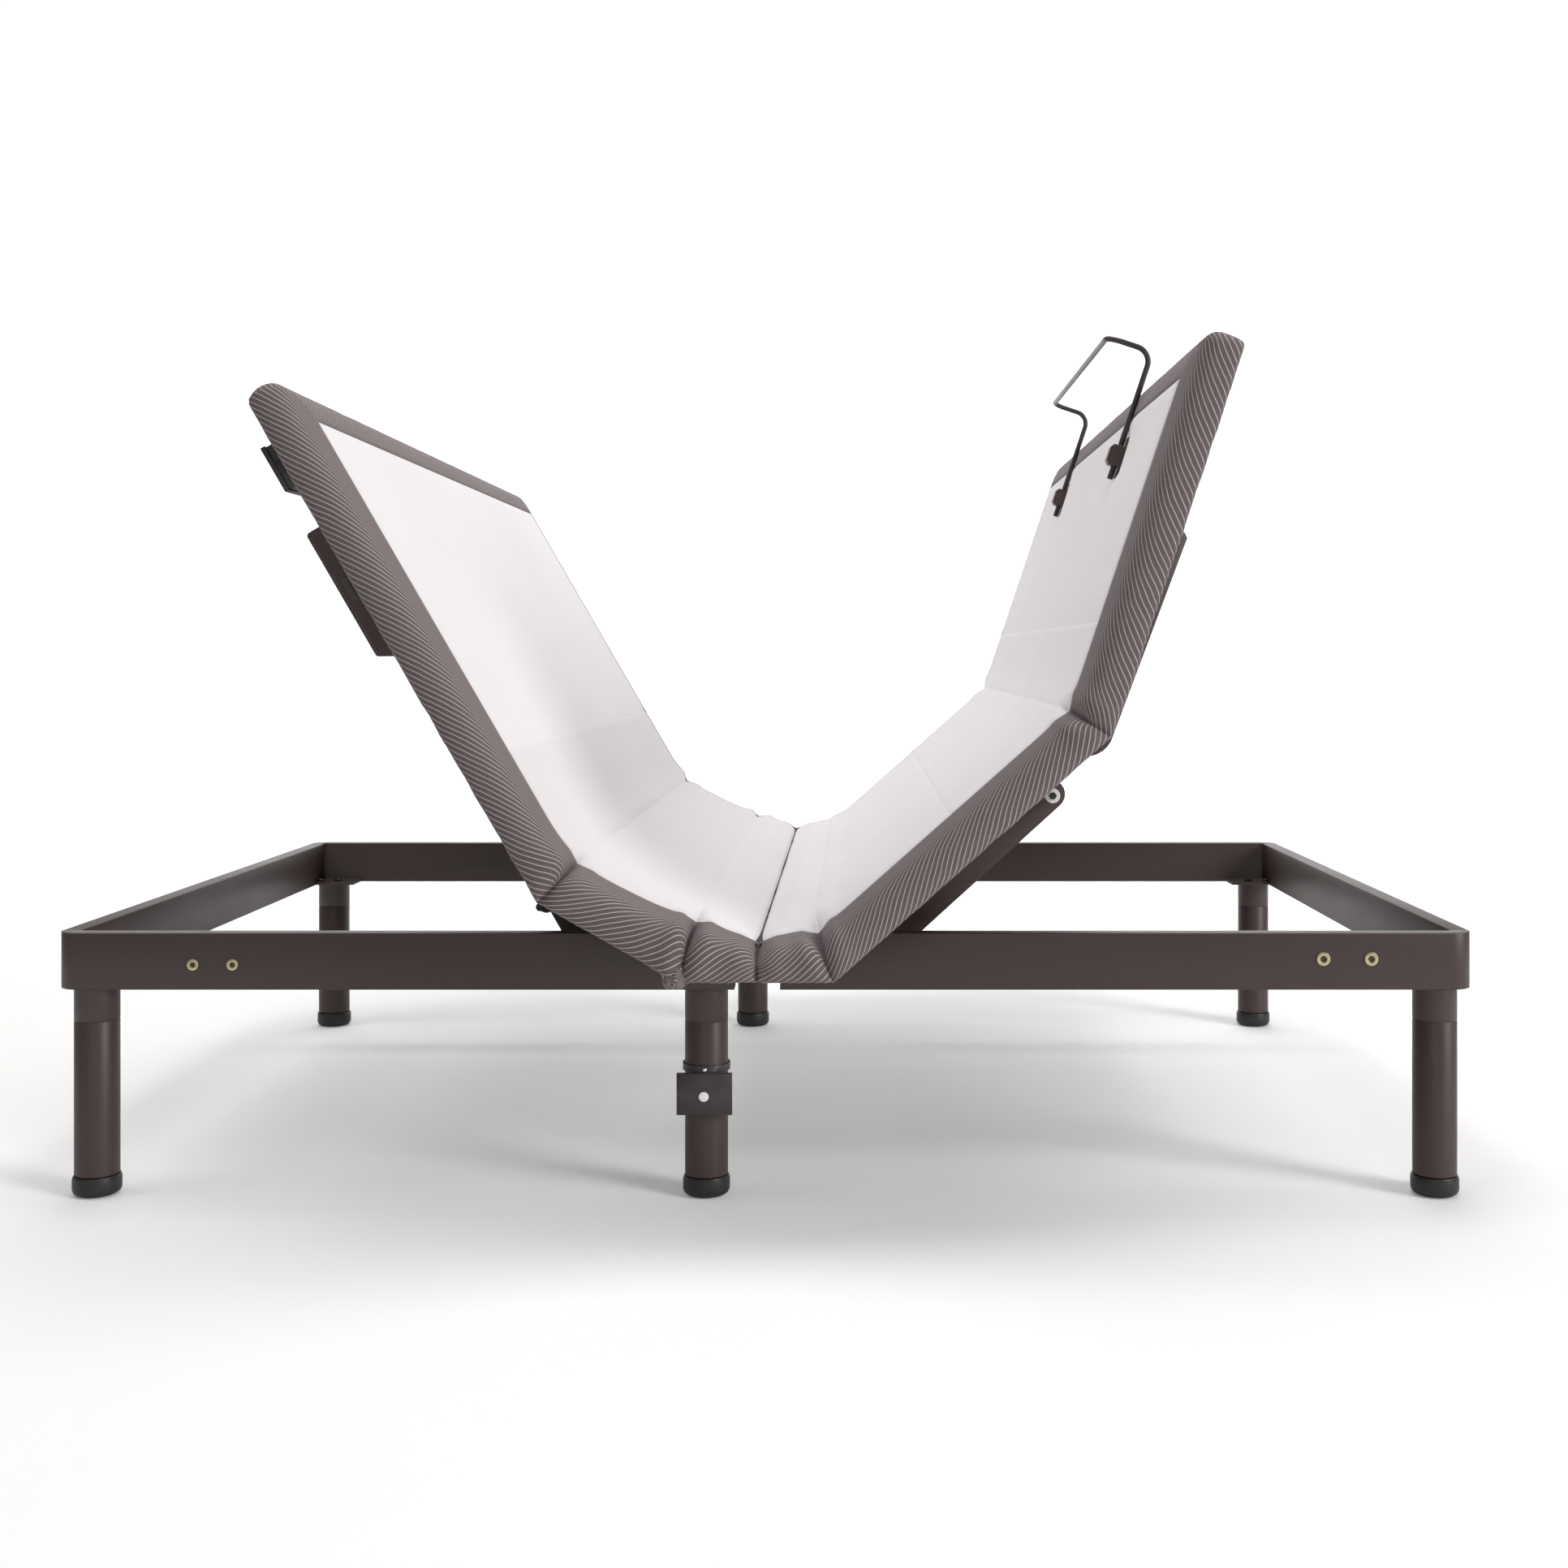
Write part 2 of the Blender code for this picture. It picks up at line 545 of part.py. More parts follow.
def shaft(name, centre, crank, crank_angles, y_mid, gap_half):
    """Cross shaft with a two-cheek crank for the actuator eye."""
    inside = FRAME_WIDTH / 2.0 - RAIL_DEPTH - 0.0005
    home = (centre[0], 0.0, centre[1])
    item = finish(name, prism_shape(circle(centre, SHAFT_RADIUS, 20), -inside, inside), "frame_paint", home)
    core = prism_shape(circle(centre, SHAFT_RADIUS - 0.003, 20), -inside - 0.01, inside + 0.01)
    item = combine(item, finish(name + "_cut", core, "frame_paint"), "DIFFERENCE")
    direction = crank_angles
    pin = (centre[0] + crank * math.sin(direction), centre[1] - crank * math.cos(direction))
    for offset in (-gap_half - 0.006, gap_half):
        heading = math.degrees(math.atan2(pin[1] - centre[1], pin[0] - centre[0]))
        lug = arc(pin, 0.014, heading - 80.0, heading + 80.0, 6)
        root = arc(centre, SHAFT_RADIUS + 0.003, heading + 80.0, heading + 280.0, 10)
        cheek = prism_shape(lug + root, y_mid + offset, y_mid + offset + 0.006)
        hole = prism_shape(circle(centre, SHAFT_RADIUS - 0.002, 20), y_mid + offset - 0.01, y_mid + offset + 0.016)
        cheek_item = combine(finish("cheek", cheek, "frame_paint"), finish("hole", hole, "frame_paint"),
                             "DIFFERENCE")
        item = combine(item, cheek_item, "UNION")
    return pin


def lift_arm(name, centre, heading, length, half, span, roller_out):
    """Arm from the shaft to a rounded tip, with the roller boss on its outer side."""
    c = (centre[0], centre[1])
    tip = (c[0] + length * math.cos(heading), c[1] + length * math.sin(heading))
    degrees = math.degrees(heading)
    outline = arc(tip, half, degrees - 90.0, degrees + 90.0, 10)
    outline += arc(c, SHAFT_RADIUS + 0.006, degrees + 95.0, degrees + 265.0, 10)
    item = finish(name, prism_shape(outline, span[0], span[1]), "frame_paint", (c[0], 0.0, c[1]))
    hole = prism_shape(circle(c, SHAFT_RADIUS + GAP, 20), span[0] - 0.01, span[1] + 0.01)
    item = combine(item, finish(name + "_hole", hole, "frame_paint"), "DIFFERENCE")
    core_low = span[0] + BAR_WALL
    core_high = span[1] - BAR_WALL
    ux, uz = math.cos(heading), math.sin(heading)
    nx, nz = -uz, ux

    def at(along, up):
        return (c[0] + along * ux + up * nx, c[1] + along * uz + up * nz)

    inner = [at(0.045, -half + 0.006), at(length - 0.03, -half + 0.006), at(length - 0.03, half - 0.006),
             at(0.045, half - 0.006)]
    open_side = core_low - 0.01 if span[0] > 0 else core_low
    open_far = core_high if span[0] > 0 else core_high + 0.01
    pocket = prism_shape(inner, open_side, open_far)
    item = combine(item, finish(name + "_pocket", pocket, "frame_paint"), "DIFFERENCE")
    low = min(roller_out)
    high = max(roller_out)
    boss = prism_shape(circle(tip, ROLLER_RADIUS, 20), low, high)
    return combine(item, finish(name + "_boss", boss, "frame_paint"), "UNION")


def build_lifts():
    head_pin = shaft("head_shaft", HEAD_SHAFT, HEAD_CRANK, -math.radians(41.35), HEAD_DRIVE_Y, 0.0105)
    foot_centre = THIGH.point(0.0, FOOT_ARM_PERP)
    foot_pin = shaft("foot_shaft", foot_centre, FOOT_CRANK, math.radians(43.17), FOOT_DRIVE_Y, 0.0105)
    head_heading = math.pi - math.radians(59.881)
    for side_name, side_y in sides():
        span = ARM_SPAN if side_y > 0 else mirrored(ARM_SPAN)
        roller = (side_y * (ARM_SPAN[1] - 0.001), side_y * (BAR_INNER[1] - 0.001))
        lift_arm("head_arm_" + side_name, HEAD_SHAFT, head_heading, HEAD_ARM_LENGTH, HEAD_ARM_HALF, span, roller)
        lift_arm("foot_arm_" + side_name, foot_centre, THIGH_ANGLE, FOOT_ARM_LENGTH, FOOT_ARM_HALF, span, roller)
    return head_pin, foot_pin


def build_actuator(prefix, anchor, pin, y_mid, reach_flat):
    """Motor block with a bored outer tube, and the rod that slides in it."""
    heading = math.atan2(pin[1] - anchor[1], pin[0] - anchor[0])
    ux, uz = math.cos(heading), math.sin(heading)
    nx, nz = (-uz, ux) if ux > 0 else (uz, -ux)
    length = math.hypot(pin[0] - anchor[0], pin[1] - anchor[1])

    def at(along, up):
        return (anchor[0] + along * ux + up * nx, anchor[1] + along * uz + up * nz)

    home = (anchor[0], y_mid, anchor[1])
    eye = [at(0.012 * math.cos(math.radians(t)), 0.012 * math.sin(math.radians(t))) for t in range(90, 271, 20)]
    eye += [at(0.034, -0.012), at(0.034, 0.012)]
    item = finish(prefix + "_motor", prism_shape(eye, y_mid - 0.0145, y_mid + 0.0145), "motor_plastic", home)
    block = [at(0.030, -0.044), at(0.036, -0.050), at(0.086, -0.050), at(0.092, -0.044), at(0.092, 0.016),
             at(0.086, 0.022), at(0.036, 0.022), at(0.030, 0.016)]
    block_shape = prism_shape(block, y_mid - 0.030, y_mid + 0.030)
    item = combine(item, finish("block", block_shape, "motor_plastic"), "UNION")
    tube_end = reach_flat - 0.030
    tube = [at(0.088, -0.017), at(tube_end, -0.017), at(tube_end, 0.017), at(0.088, 0.017)]
    item = combine(item, finish("tube", prism_shape(tube, y_mid - 0.017, y_mid + 0.017), "motor_plastic"), "UNION")
    bore = [at(0.050, -0.0107), at(tube_end + 0.01, -0.0107), at(tube_end + 0.01, 0.0107), at(0.050, 0.0107)]
    item = combine(item, finish("bore", prism_shape(bore, y_mid - 0.0107, y_mid + 0.0107), "motor_plastic"),
                   "DIFFERENCE")
    stroke = length - reach_flat
    tail = 0.055 + stroke
    rod = [at(tail, -0.0100), at(length - 0.016, -0.0100), at(length - 0.016, 0.0100), at(tail, 0.0100)]
    rod_item = finish(prefix + "_rod", prism_shape(rod, y_mid - 0.0095, y_mid + 0.0095), "rod_steel", home)
    eye = [at(length + 0.0115 * math.cos(math.radians(t)), 0.0115 * math.sin(math.radians(t)))
           for t in range(-110, 111, 20)]
    eye += [at(length - 0.020, 0.0110), at(length - 0.020, -0.0110)]
    eye_shape = prism_shape(eye, y_mid - 0.0095, y_mid + 0.0095)
    combine(rod_item, finish("eye", eye_shape, "rod_steel"), "UNION")


def build_link():
    top = CALF.point(-LINK_BACKSET, 0.0)
    heading = math.atan2(top[1] - LINK_PIVOT[1], top[0] - LINK_PIVOT[0])
    degrees = math.degrees(heading)
    outline = arc(top, 0.0110, degrees - 90.0, degrees + 90.0, 8)
    outline += arc(LINK_PIVOT, 0.0110, degrees + 90.0, degrees + 270.0, 8)
    finish("calf_link", prism_shape(outline, -0.0070, 0.0070), "frame_paint",
           (LINK_PIVOT[0], 0.0, LINK_PIVOT[1]))


def build_small_parts():
    y_face = FRAME_WIDTH / 2.0
    seats = (-0.7515, -0.6995, 0.7340, 0.7970)
    heights = (0.309, 0.309, 0.3165, 0.3165)
    radii = (0.0076, 0.0076, 0.0090, 0.0090)
    names = ("insert_head_outer", "insert_head_inner", "insert_foot_inner", "insert_foot_outer")
    for name, x, z, radius in zip(names, seats, heights, radii):
        ring = prism_shape(circle((x, z), radius, 20), -y_face - 0.0016, -y_face - 0.0003)
        item = finish(name, ring, "zinc")
        hexagon = prism_shape(circle((x, z), radius * 0.52, 6), -y_face - 0.01, -y_face + 0.01)
        combine(item, finish(name + "_hole", hexagon, "zinc"), "DIFFERENCE")
    x = LEG_X[1]
    y = -LEG_Y
    inner = LEG_RADIUS + 0.0004
    outer = LEG_RADIUS + 0.0030
    band = finish("leg_light", lathe_tube(x, y, inner, outer, 0.1660, 0.1755), "dark_plastic")
    front = y - LEG_RADIUS
    plate = light_plate(x, front)
    band = combine(band, finish("plate", plate, "dark_plastic"), "UNION")
    socket = prism_shape(circle((x, 0.1390), 0.0072, 20), front - 0.030, front - 0.0085)
    combine(band, finish("socket", socket, "dark_plastic"), "DIFFERENCE")
    lens = prism_shape(circle((x, 0.1390), 0.0066, 20), front - 0.0170, front - 0.0088)
    finish("leg_light_lens", lens, "lens")


def lathe_tube(x, y, inner, outer, z0, z1, steps=32):
    shape = bmesh.new()
    rings = []
    for radius, z in ((inner, z0), (outer, z0), (outer, z1), (inner, z1)):
        ring = []
        for index in range(steps):
            angle = 2.0 * math.pi * index / steps
            ring.append(shape.verts.new((x + radius * math.cos(angle), y + radius * math.sin(angle), z)))
        rings.append(ring)
    for index in range(4):
        lower = rings[index]
        upper = rings[(index + 1) % 4]
        for turn in range(steps):
            after = (turn + 1) % steps
            shape.faces.new((lower[turn], lower[after], upper[after], upper[turn]))
    return shape


def light_plate(x, front):
    """Shallow four-sided pyramid housing with a step up to the strap."""
    half = 0.0363
    back = front - 0.0005
    low = 0.1130
    high = 0.1672
    rim = back - 0.0075
    crown = back - 0.0150
    shape = bmesh.new()

    def ring(values, y):
        return [shape.verts.new((px, y, pz)) for px, pz in values]

    rear = ring([(x - half, low), (x + half, low), (x + half, high), (x - half, high)], back)
    face = ring([(x - half, low), (x + half, low), (x + half, high), (x - half, high)], rim)
    small = 0.0095
    mid = 0.1390
    top = ring([(x - small, mid - small), (x + small, mid - small), (x + small, mid + small),
                (x - small, mid + small)], crown)
    shape.faces.new(rear)
    shape.faces.new(list(reversed(top)))
    for lower, upper in ((rear, face), (face, top)):
        for index in range(4):
            after = (index + 1) % 4
            shape.faces.new((lower[index], lower[after], upper[after], upper[index]))
    return shape


def main():
    clear_scene()
    build_frame()
    build_centre_beam()
    build_legs()
    build_seat()
    build_lumbar_and_back()
    build_thigh_and_calf()
    build_retainer()
    head_pin, foot_pin = build_lifts()
    head_flat = math.hypot(HEAD_ANCHOR[0] - (HEAD_SHAFT[0] + HEAD_CRANK * math.sin(math.radians(20.0))),
                           HEAD_ANCHOR[1] - (HEAD_SHAFT[1] - HEAD_CRANK * math.cos(math.radians(20.0))))
    foot_centre = THIGH.point(0.0, FOOT_ARM_PERP)
    foot_flat = math.hypot(FOOT_ANCHOR[0] - foot_centre[0], FOOT_ANCHOR[1] - (foot_centre[1] - FOOT_CRANK))
    build_actuator("head", HEAD_ANCHOR, head_pin, HEAD_DRIVE_Y, head_flat)
    build_actuator("foot", FOOT_ANCHOR, foot_pin, FOOT_DRIVE_Y, foot_flat)
    build_link()
    build_small_parts()


main()
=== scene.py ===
"""Studio scene of an adjustable bed base: sewn upholstery over a powder-coated steel frame."""
import math

import bmesh
import bpy
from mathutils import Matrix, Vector, noise


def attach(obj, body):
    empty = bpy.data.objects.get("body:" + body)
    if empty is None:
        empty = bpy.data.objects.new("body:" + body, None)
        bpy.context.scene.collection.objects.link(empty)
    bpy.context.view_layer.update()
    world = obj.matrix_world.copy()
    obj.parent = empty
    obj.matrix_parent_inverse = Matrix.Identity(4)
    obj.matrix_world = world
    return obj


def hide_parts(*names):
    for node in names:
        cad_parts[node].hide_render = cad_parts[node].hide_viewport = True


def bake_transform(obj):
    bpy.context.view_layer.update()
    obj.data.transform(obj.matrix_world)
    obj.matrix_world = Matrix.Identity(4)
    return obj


# Deck, measured along the flattened panels from the middle of the seat (head is negative)
HALF_WIDTH = 0.760
HEAD_END = -0.994
BACK_FOLD_S = -0.289
LUMBAR_FOLD_S = -0.094
SEAT_CREASE_S = 0.0
THIGH_FOLD_S = 0.093
KNEE_FOLD_S = 0.539
FOOT_END = 1.044
HINGE_HEIGHT = 0.322
LUMBAR_RISE = math.radians(29.5)
BACK_RISE = math.radians(59.9)
THIGH_RISE = math.radians(41.5)
CALF_RISE = math.radians(71.5)
TOP = 0.0535
UNDERSIDE = 0.0402
SEAM_INSET = 0.055
END_SEAM_INSET = 0.058
CORNER_RADIUS = 0.016
BLEND_REACH = 0.036

# Ribs woven into the border: spacing, slant, and how fast they tighten toward the seam
RIB_PITCH = 0.0062
RIB_RISE = math.radians(36.0)
RIB_CURL = 5.0

# Sewn joins across the white mesh, where the cover is made in pieces
BACK_JOIN = BACK_FOLD_S - 0.180
THIGH_JOIN = THIGH_FOLD_S + 0.237
CALF_JOIN = KNEE_FOLD_S + 0.129
LUMBAR_MIDDLE = (BACK_FOLD_S + LUMBAR_FOLD_S) / 2.0

# Border cross-section from the hidden inner wall, under the lip, up the outside and in to the seam:
# (distance in from a side edge, distance in from an end edge, height over the hinge plane)
BORDER_PROFILE = (
    (0.0450, 0.0300, 0.0402),
    (0.0450, 0.0300, 0.0035),
    (0.0425, 0.0275, 0.0008),
    (0.0300, 0.0220, -0.0010),
    (0.0150, 0.0150, -0.0015),
    (0.0085, 0.0085, -0.0006),
    (0.0040, 0.0040, 0.0022),
    (0.0012, 0.0012, 0.0070),
    (-0.0006, -0.0006, 0.0125),
    (-0.0015, -0.0015, 0.0185),
    (-0.0016, -0.0016, 0.0240),
    (-0.0009, -0.0009, 0.0295),
    (0.0008, 0.0008, 0.0344),
    (0.0036, 0.0036, 0.0388),
    (0.0074, 0.0074, 0.0424),
    (0.0120, 0.0120, 0.0452),
    (0.0158, 0.0158, 0.0468),
    (0.0210, 0.0218, 0.0484),
    (0.0290, 0.0303, 0.0504),
    (0.0370, 0.0389, 0.0520),
    (0.0450, 0.0474, 0.0531),
    (0.0505, 0.0532, 0.0533),
    (0.0535, 0.0564, 0.0526),
    (0.0550, 0.0580, 0.0508),
    (0.0575, 0.0605, 0.0402),
)

# How deeply the border and the white mesh tuck in at each fold: position, border depth, border puff,
# mesh depth (negative bridges the fold), mesh puff
FOLDS = (
    (BACK_FOLD_S, 0.0120, 0.0030, -0.0040, 0.0000),
    (LUMBAR_FOLD_S, 0.0190, 0.0040, -0.0030, 0.0000),
    (SEAT_CREASE_S, 0.0150, 0.0030, 0.0085, 0.0045),
    (THIGH_FOLD_S, 0.0140, 0.0035, -0.0060, 0.0000),
    (KNEE_FOLD_S, 0.0110, 0.0030, -0.0040, 0.0000),
)

# Padding pushed up where the folds squeeze it: position, height (negative dips), reach toward the
# head, reach toward the foot, share of it taken by the border
SWELLS = (
    (BACK_FOLD_S, 0.0045, 0.070, 0.120, 1.0),
    (LUMBAR_FOLD_S, 0.0140, 0.170, 0.100, 1.0),
    (SEAT_CREASE_S, -0.0110, 0.062, 0.050, 1.0),
    (THIGH_FOLD_S, 0.0080, 0.085, 0.120, 0.0),
)

# The calf cover's border hangs lower than the others
CALF_DROP = 0.0075

# Mattress retainer: half width, bend radius, height over the hinge plane, how far along the calf and
# how high its corner stands, wire radius, and the stretch of deck that its clamps press into
RETAINER_HALF_WIDTH = 0.340
RETAINER_BEND = 0.022
RETAINER_LIFT = 0.0565
RETAINER_CORNER = 0.545
RETAINER_RISE = 0.124
RETAINER_WIRE_RADIUS = 0.0042
CLAMP_START = KNEE_FOLD_S + 0.356
CLAMP_END = KNEE_FOLD_S + 0.416

# Legs, lift arm rollers and the pouch
LEG_Y = 0.530
LEG_BOLT_Y = 0.497
LEG_PLACES = (("head", -0.890), ("mid", -0.079), ("foot", 0.890))
ROLLER_INNER_Y = 0.4706
ROLLER_BOLT_Y = 0.4996
POUCH_FACE_Y = -0.7050
POUCH_NEAR = 0.358
POUCH_FAR = 0.534


def smooth(value):
    value = min(max(value, 0.0), 1.0)
    return value * value * (3.0 - 2.0 * value)


class Panel:
    """One straight stretch of the deck between two folds."""

    def __init__(self, low, high, corner, rise, fold_low, fold_high, reach):
        self.low = low
        self.high = high
        self.corner = corner
        self.along = (math.cos(rise), math.sin(rise))
        self.up = (-math.sin(rise), math.cos(rise))
        self.fold_low = fold_low
        self.fold_high = fold_high
        self.reach = reach

    def point(self, s, z):
        shift = z * math.tan(self.fold_low) * (1.0 - smooth((s - self.low) / self.reach))
        shift -= z * math.tan(self.fold_high) * (1.0 - smooth((self.high - s) / self.reach))
        run = s - self.low + shift
        return (self.corner[0] + run * self.along[0] + z * self.up[0],
                self.corner[1] + run * self.along[1] + z * self.up[1])


    def plain(self, s, z):
        """A point on the panel's own straight grid, with no mitre."""
        run = s - self.low
        return (self.corner[0] + run * self.along[0] + z * self.up[0],
                self.corner[1] + run * self.along[1] + z * self.up[1])


def make_panels():
    lumbar_low = (LUMBAR_FOLD_S - (LUMBAR_FOLD_S - BACK_FOLD_S) * math.cos(LUMBAR_RISE),
                  HINGE_HEIGHT + (LUMBAR_FOLD_S - BACK_FOLD_S) * math.sin(LUMBAR_RISE))
    back_low = (lumbar_low[0] - (BACK_FOLD_S - HEAD_END) * math.cos(BACK_RISE),
                lumbar_low[1] + (BACK_FOLD_S - HEAD_END) * math.sin(BACK_RISE))
    knee = (THIGH_FOLD_S + (KNEE_FOLD_S - THIGH_FOLD_S) * math.cos(THIGH_RISE),
            HINGE_HEIGHT + (KNEE_FOLD_S - THIGH_FOLD_S) * math.sin(THIGH_RISE))
    back_fold = (BACK_RISE - LUMBAR_RISE) / 2.0
    knee_fold = (CALF_RISE - THIGH_RISE) / 2.0
    return (
        Panel(HEAD_END, BACK_FOLD_S, back_low, -BACK_RISE, 0.0, back_fold, 0.12),
        Panel(BACK_FOLD_S, LUMBAR_FOLD_S, lumbar_low, -LUMBAR_RISE, back_fold, LUMBAR_RISE / 2.0, 0.09),
        Panel(LUMBAR_FOLD_S, THIGH_FOLD_S, (LUMBAR_FOLD_S, HINGE_HEIGHT), 0.0,
              LUMBAR_RISE / 2.0, THIGH_RISE / 2.0, 0.08),
        Panel(THIGH_FOLD_S, KNEE_FOLD_S, (THIGH_FOLD_S, HINGE_HEIGHT), THIGH_RISE,
              THIGH_RISE / 2.0, knee_fold, 0.12),
        Panel(KNEE_FOLD_S, FOOT_END, knee, CALF_RISE, knee_fold, 0.0, 0.12),
    )


PANELS = make_panels()
BACK_PANEL = PANELS[0]
CALF_PANEL = PANELS[4]


def deck_point(s, y, z):
    panel = PANELS[-1]
    for candidate in PANELS:
        if s <= candidate.high:
            panel = candidate
            break
    x, height = panel.point(s, z)
    return Vector((x, y, height))


def border_tuck(s):
    """How far the border pulls in (positive) or puffs out (negative) at this station."""
    total = 0.0
    for place, depth, puff, _, _ in FOLDS:
        away = abs(s - place)
        total += depth * math.exp(-away / 0.0046)
        total -= puff * math.exp(-((away - 0.022) / 0.014) ** 2)
    return total


def mesh_tuck(s):
    total = 0.0
    for place, _, _, depth, puff in FOLDS:
        away = abs(s - place)
        if depth > 0.0:
            total += depth * math.exp(-away / 0.0026)
            total -= puff * math.exp(-((away - 0.034) / 0.024) ** 2)
        else:
            total += depth * math.exp(-(away / 0.028) ** 2)
    return total


def swell(s, border):
    total = 0.0
    for place, height, toward_head, toward_foot, share in SWELLS:
        reach = toward_foot if s > place else toward_head
        soft = 0.004 if border or height < 0.0 else 0.050
        away = math.sqrt(((s - place) / reach) ** 2 + soft) - math.sqrt(soft)
        if away < 1.0:
            total += height * (share if border else 1.0) * (1.0 - away) ** 1.4
    return total


def pressed(s, y):
    """Dent left in the mesh by the retainer's clamps and wires."""
    away = abs(abs(y) - RETAINER_HALF_WIDTH)
    wire = smooth((0.030 - away) / 0.024) * smooth((s - CLAMP_START + 0.020) / 0.02)
    clamp = smooth((0.034 - away) / 0.016)
    clamp *= smooth((s - CLAMP_START + 0.012) / 0.010) * smooth((CLAMP_END + 0.012 - s) / 0.010)
    return 0.0022 * wire + 0.0048 * clamp


def ripple(s, y, scale, seed):
    return noise.noise(Vector((s / scale, y / scale, seed)))


def stations(low, high, joins=()):
    """Positions along the deck, close together where the cover folds or is sewn."""
    marks = [fold[0] for fold in FOLDS] + list(joins)
    found = [low, high]
    position = low
    while position < high:
        found.append(position)
        near = min(abs(position - mark) for mark in marks)
        position += 0.0015 + min(0.018, near * 0.16)
    for mark in marks:
        for offset in (-0.0060, -0.0030, -0.0012, 0.0, 0.0012, 0.0030, 0.0060):
            if low < mark + offset < high:
                found.append(mark + offset)
    found = sorted(found)
    kept = [found[0]]
    for value in found[1:]:
        if value - kept[-1] > 0.0007:
            kept.append(value)
    kept[-1] = high
    return kept


class ClothMesh:
    """Faces gathered with a cloth coordinate at every corner."""

    def __init__(self):
        self.shape = bmesh.new()
        self.cloth = self.shape.loops.layers.uv.new("cloth")

    def vertex(self, place):
        return self.shape.verts.new(place)

    def face(self, corners, coordinates, material):
        unique = []
        pairs = []
        for corner, pair in zip(corners, coordinates):
            if corner not in unique:
                unique.append(corner)
                pairs.append(pair)
        if len(unique) < 3:
            return
        made = self.shape.faces.new(unique)
        made.material_index = material
        made.smooth = True
        for loop, pair in zip(made.loops, pairs):
            loop[self.cloth].uv = pair

    def finish(self, name, materials):
        bmesh.ops.remove_doubles(self.shape, verts=self.shape.verts[:], dist=0.00002)
        bmesh.ops.recalc_face_normals(self.shape, faces=self.shape.faces[:])
        mesh = bpy.data.meshes.new(name)
        self.shape.to_mesh(mesh)
        self.shape.free()
        for material in materials:
            mesh.materials.append(material)
        item = bpy.data.objects.new(name, mesh)
        bpy.context.scene.collection.objects.link(item)
        return item


def profile_lengths():
    lengths = [0.0]
    for first, second in zip(BORDER_PROFILE, BORDER_PROFILE[1:]):
        lengths.append(lengths[-1] + math.hypot(second[0] - first[0], second[2] - first[2]))
    return lengths


LENGTHS = profile_lengths()


def shaped(s, inset, z, outward_seed):
    """Apply the tuck, the puff and small fabric unevenness to one border point."""
    tuck = border_tuck(s)
    outer = smooth((0.040 - inset) / 0.030) * smooth((z + 0.004) / 0.010)
    upper = smooth((z - 0.020) / 0.024) * smooth((SEAM_INSET + 0.001 - inset) / 0.014)
    uneven = 0.0007 * ripple(s, inset + z, 0.035, outward_seed)
    uneven += 0.0006 * ripple(s, z, 0.012, outward_seed + 3.0)
    lower = smooth((0.016 - z) / 0.016) * smooth((0.040 - inset) / 0.020)
    sag = lower * (0.0012 * ripple(s, 0.0, 0.028, outward_seed + 7.0) - 0.0004)
    gather = 0.0030 * math.exp(-((s - LUMBAR_FOLD_S + 0.004) / 0.012) ** 2)
    risen = swell(s, True)
    inset += outer * (tuck * 0.85 - uneven - 0.20 * risen)
    z -= upper * tuck * 0.95
    z += risen * smooth((z - 0.004) / 0.040)
    z -= CALF_DROP * smooth((s - KNEE_FOLD_S) / 0.050) * smooth((0.030 - z) / 0.028) * outer
    z += sag - lower * gather
    return inset, z


def border_column(side, place, seed):
    """Points of the border section at one side station: world place and cloth coordinates."""
    column = []
    for index, (inset, _, z) in enumerate(BORDER_PROFILE):
        new_inset, new_z = shaped(place, inset, z, seed)
        point = deck_point(place, side * (HALF_WIDTH - new_inset), new_z)
        run = place if side < 0 else -place
        column.append((point, (run, LENGTHS[index]), (run, LENGTHS[index])))
    return column


def corner_columns(side, end, seed):
    """Columns from a side border round a corner to the end border."""
    sign = 1.0 if end > 0 else -1.0
    columns = []
    r = CORNER_RADIUS
    turns = [("lead", f) for f in (0.35, 0.70, 0.92)]
    turns += [("turn", t) for t in (0.0, 15.0, 30.0, 45.0, 60.0, 75.0, 90.0)]
    turns += [("trail", f) for f in (0.92, 0.70, 0.35)]
    for kind, amount in turns:
        column = []
        for index, (inset, end_inset, z) in enumerate(BORDER_PROFILE):
            new_inset, new_z = shaped(end - sign * 0.08, inset, z, seed)
            uneven = new_inset - inset
            side_start = end - sign * END_SEAM_INSET
            end_start = HALF_WIDTH - SEAM_INSET
            if inset < r:
                limit_s = end - sign * r
                limit_y = HALF_WIDTH - r
            else:
                limit_s = end - sign * end_inset
                limit_y = HALF_WIDTH - inset
            if kind == "lead":
                s = side_start + amount * (limit_s - side_start)
                y = HALF_WIDTH - inset - uneven
            elif kind == "trail":
                s = end - sign * (end_inset + uneven)
                y = end_start + amount * (limit_y - end_start)
            elif inset < r:
                turn = math.radians(amount)
                s = limit_s + sign * (r - inset - uneven) * math.sin(turn)
                y = limit_y + (r - inset - uneven) * math.cos(turn)
            else:
                s = limit_s
                y = limit_y
            if kind == "turn" and inset > 0.010 and z > 0.040:
                if inset >= r or abs(amount - 45.0) < 1.0:
                    new_z -= 0.0016
            arc = r * math.radians(amount) if kind == "turn" and inset < r else 0.0
            rest = r * math.radians(90.0 - amount) if kind == "turn" and inset < r else 0.0
            run_side = (limit_s + sign * arc) if kind == "turn" else s
            run_end = (HALF_WIDTH - y) if kind != "turn" or inset >= r else r - rest
            side_u = run_side if side < 0 else -run_side
            end_u = end_run(end, side, run_end)
            length = LENGTHS[index]
            column.append((deck_point(s, side * y, new_z), (side_u, length), (end_u, length)))
        columns.append(column)
    return columns


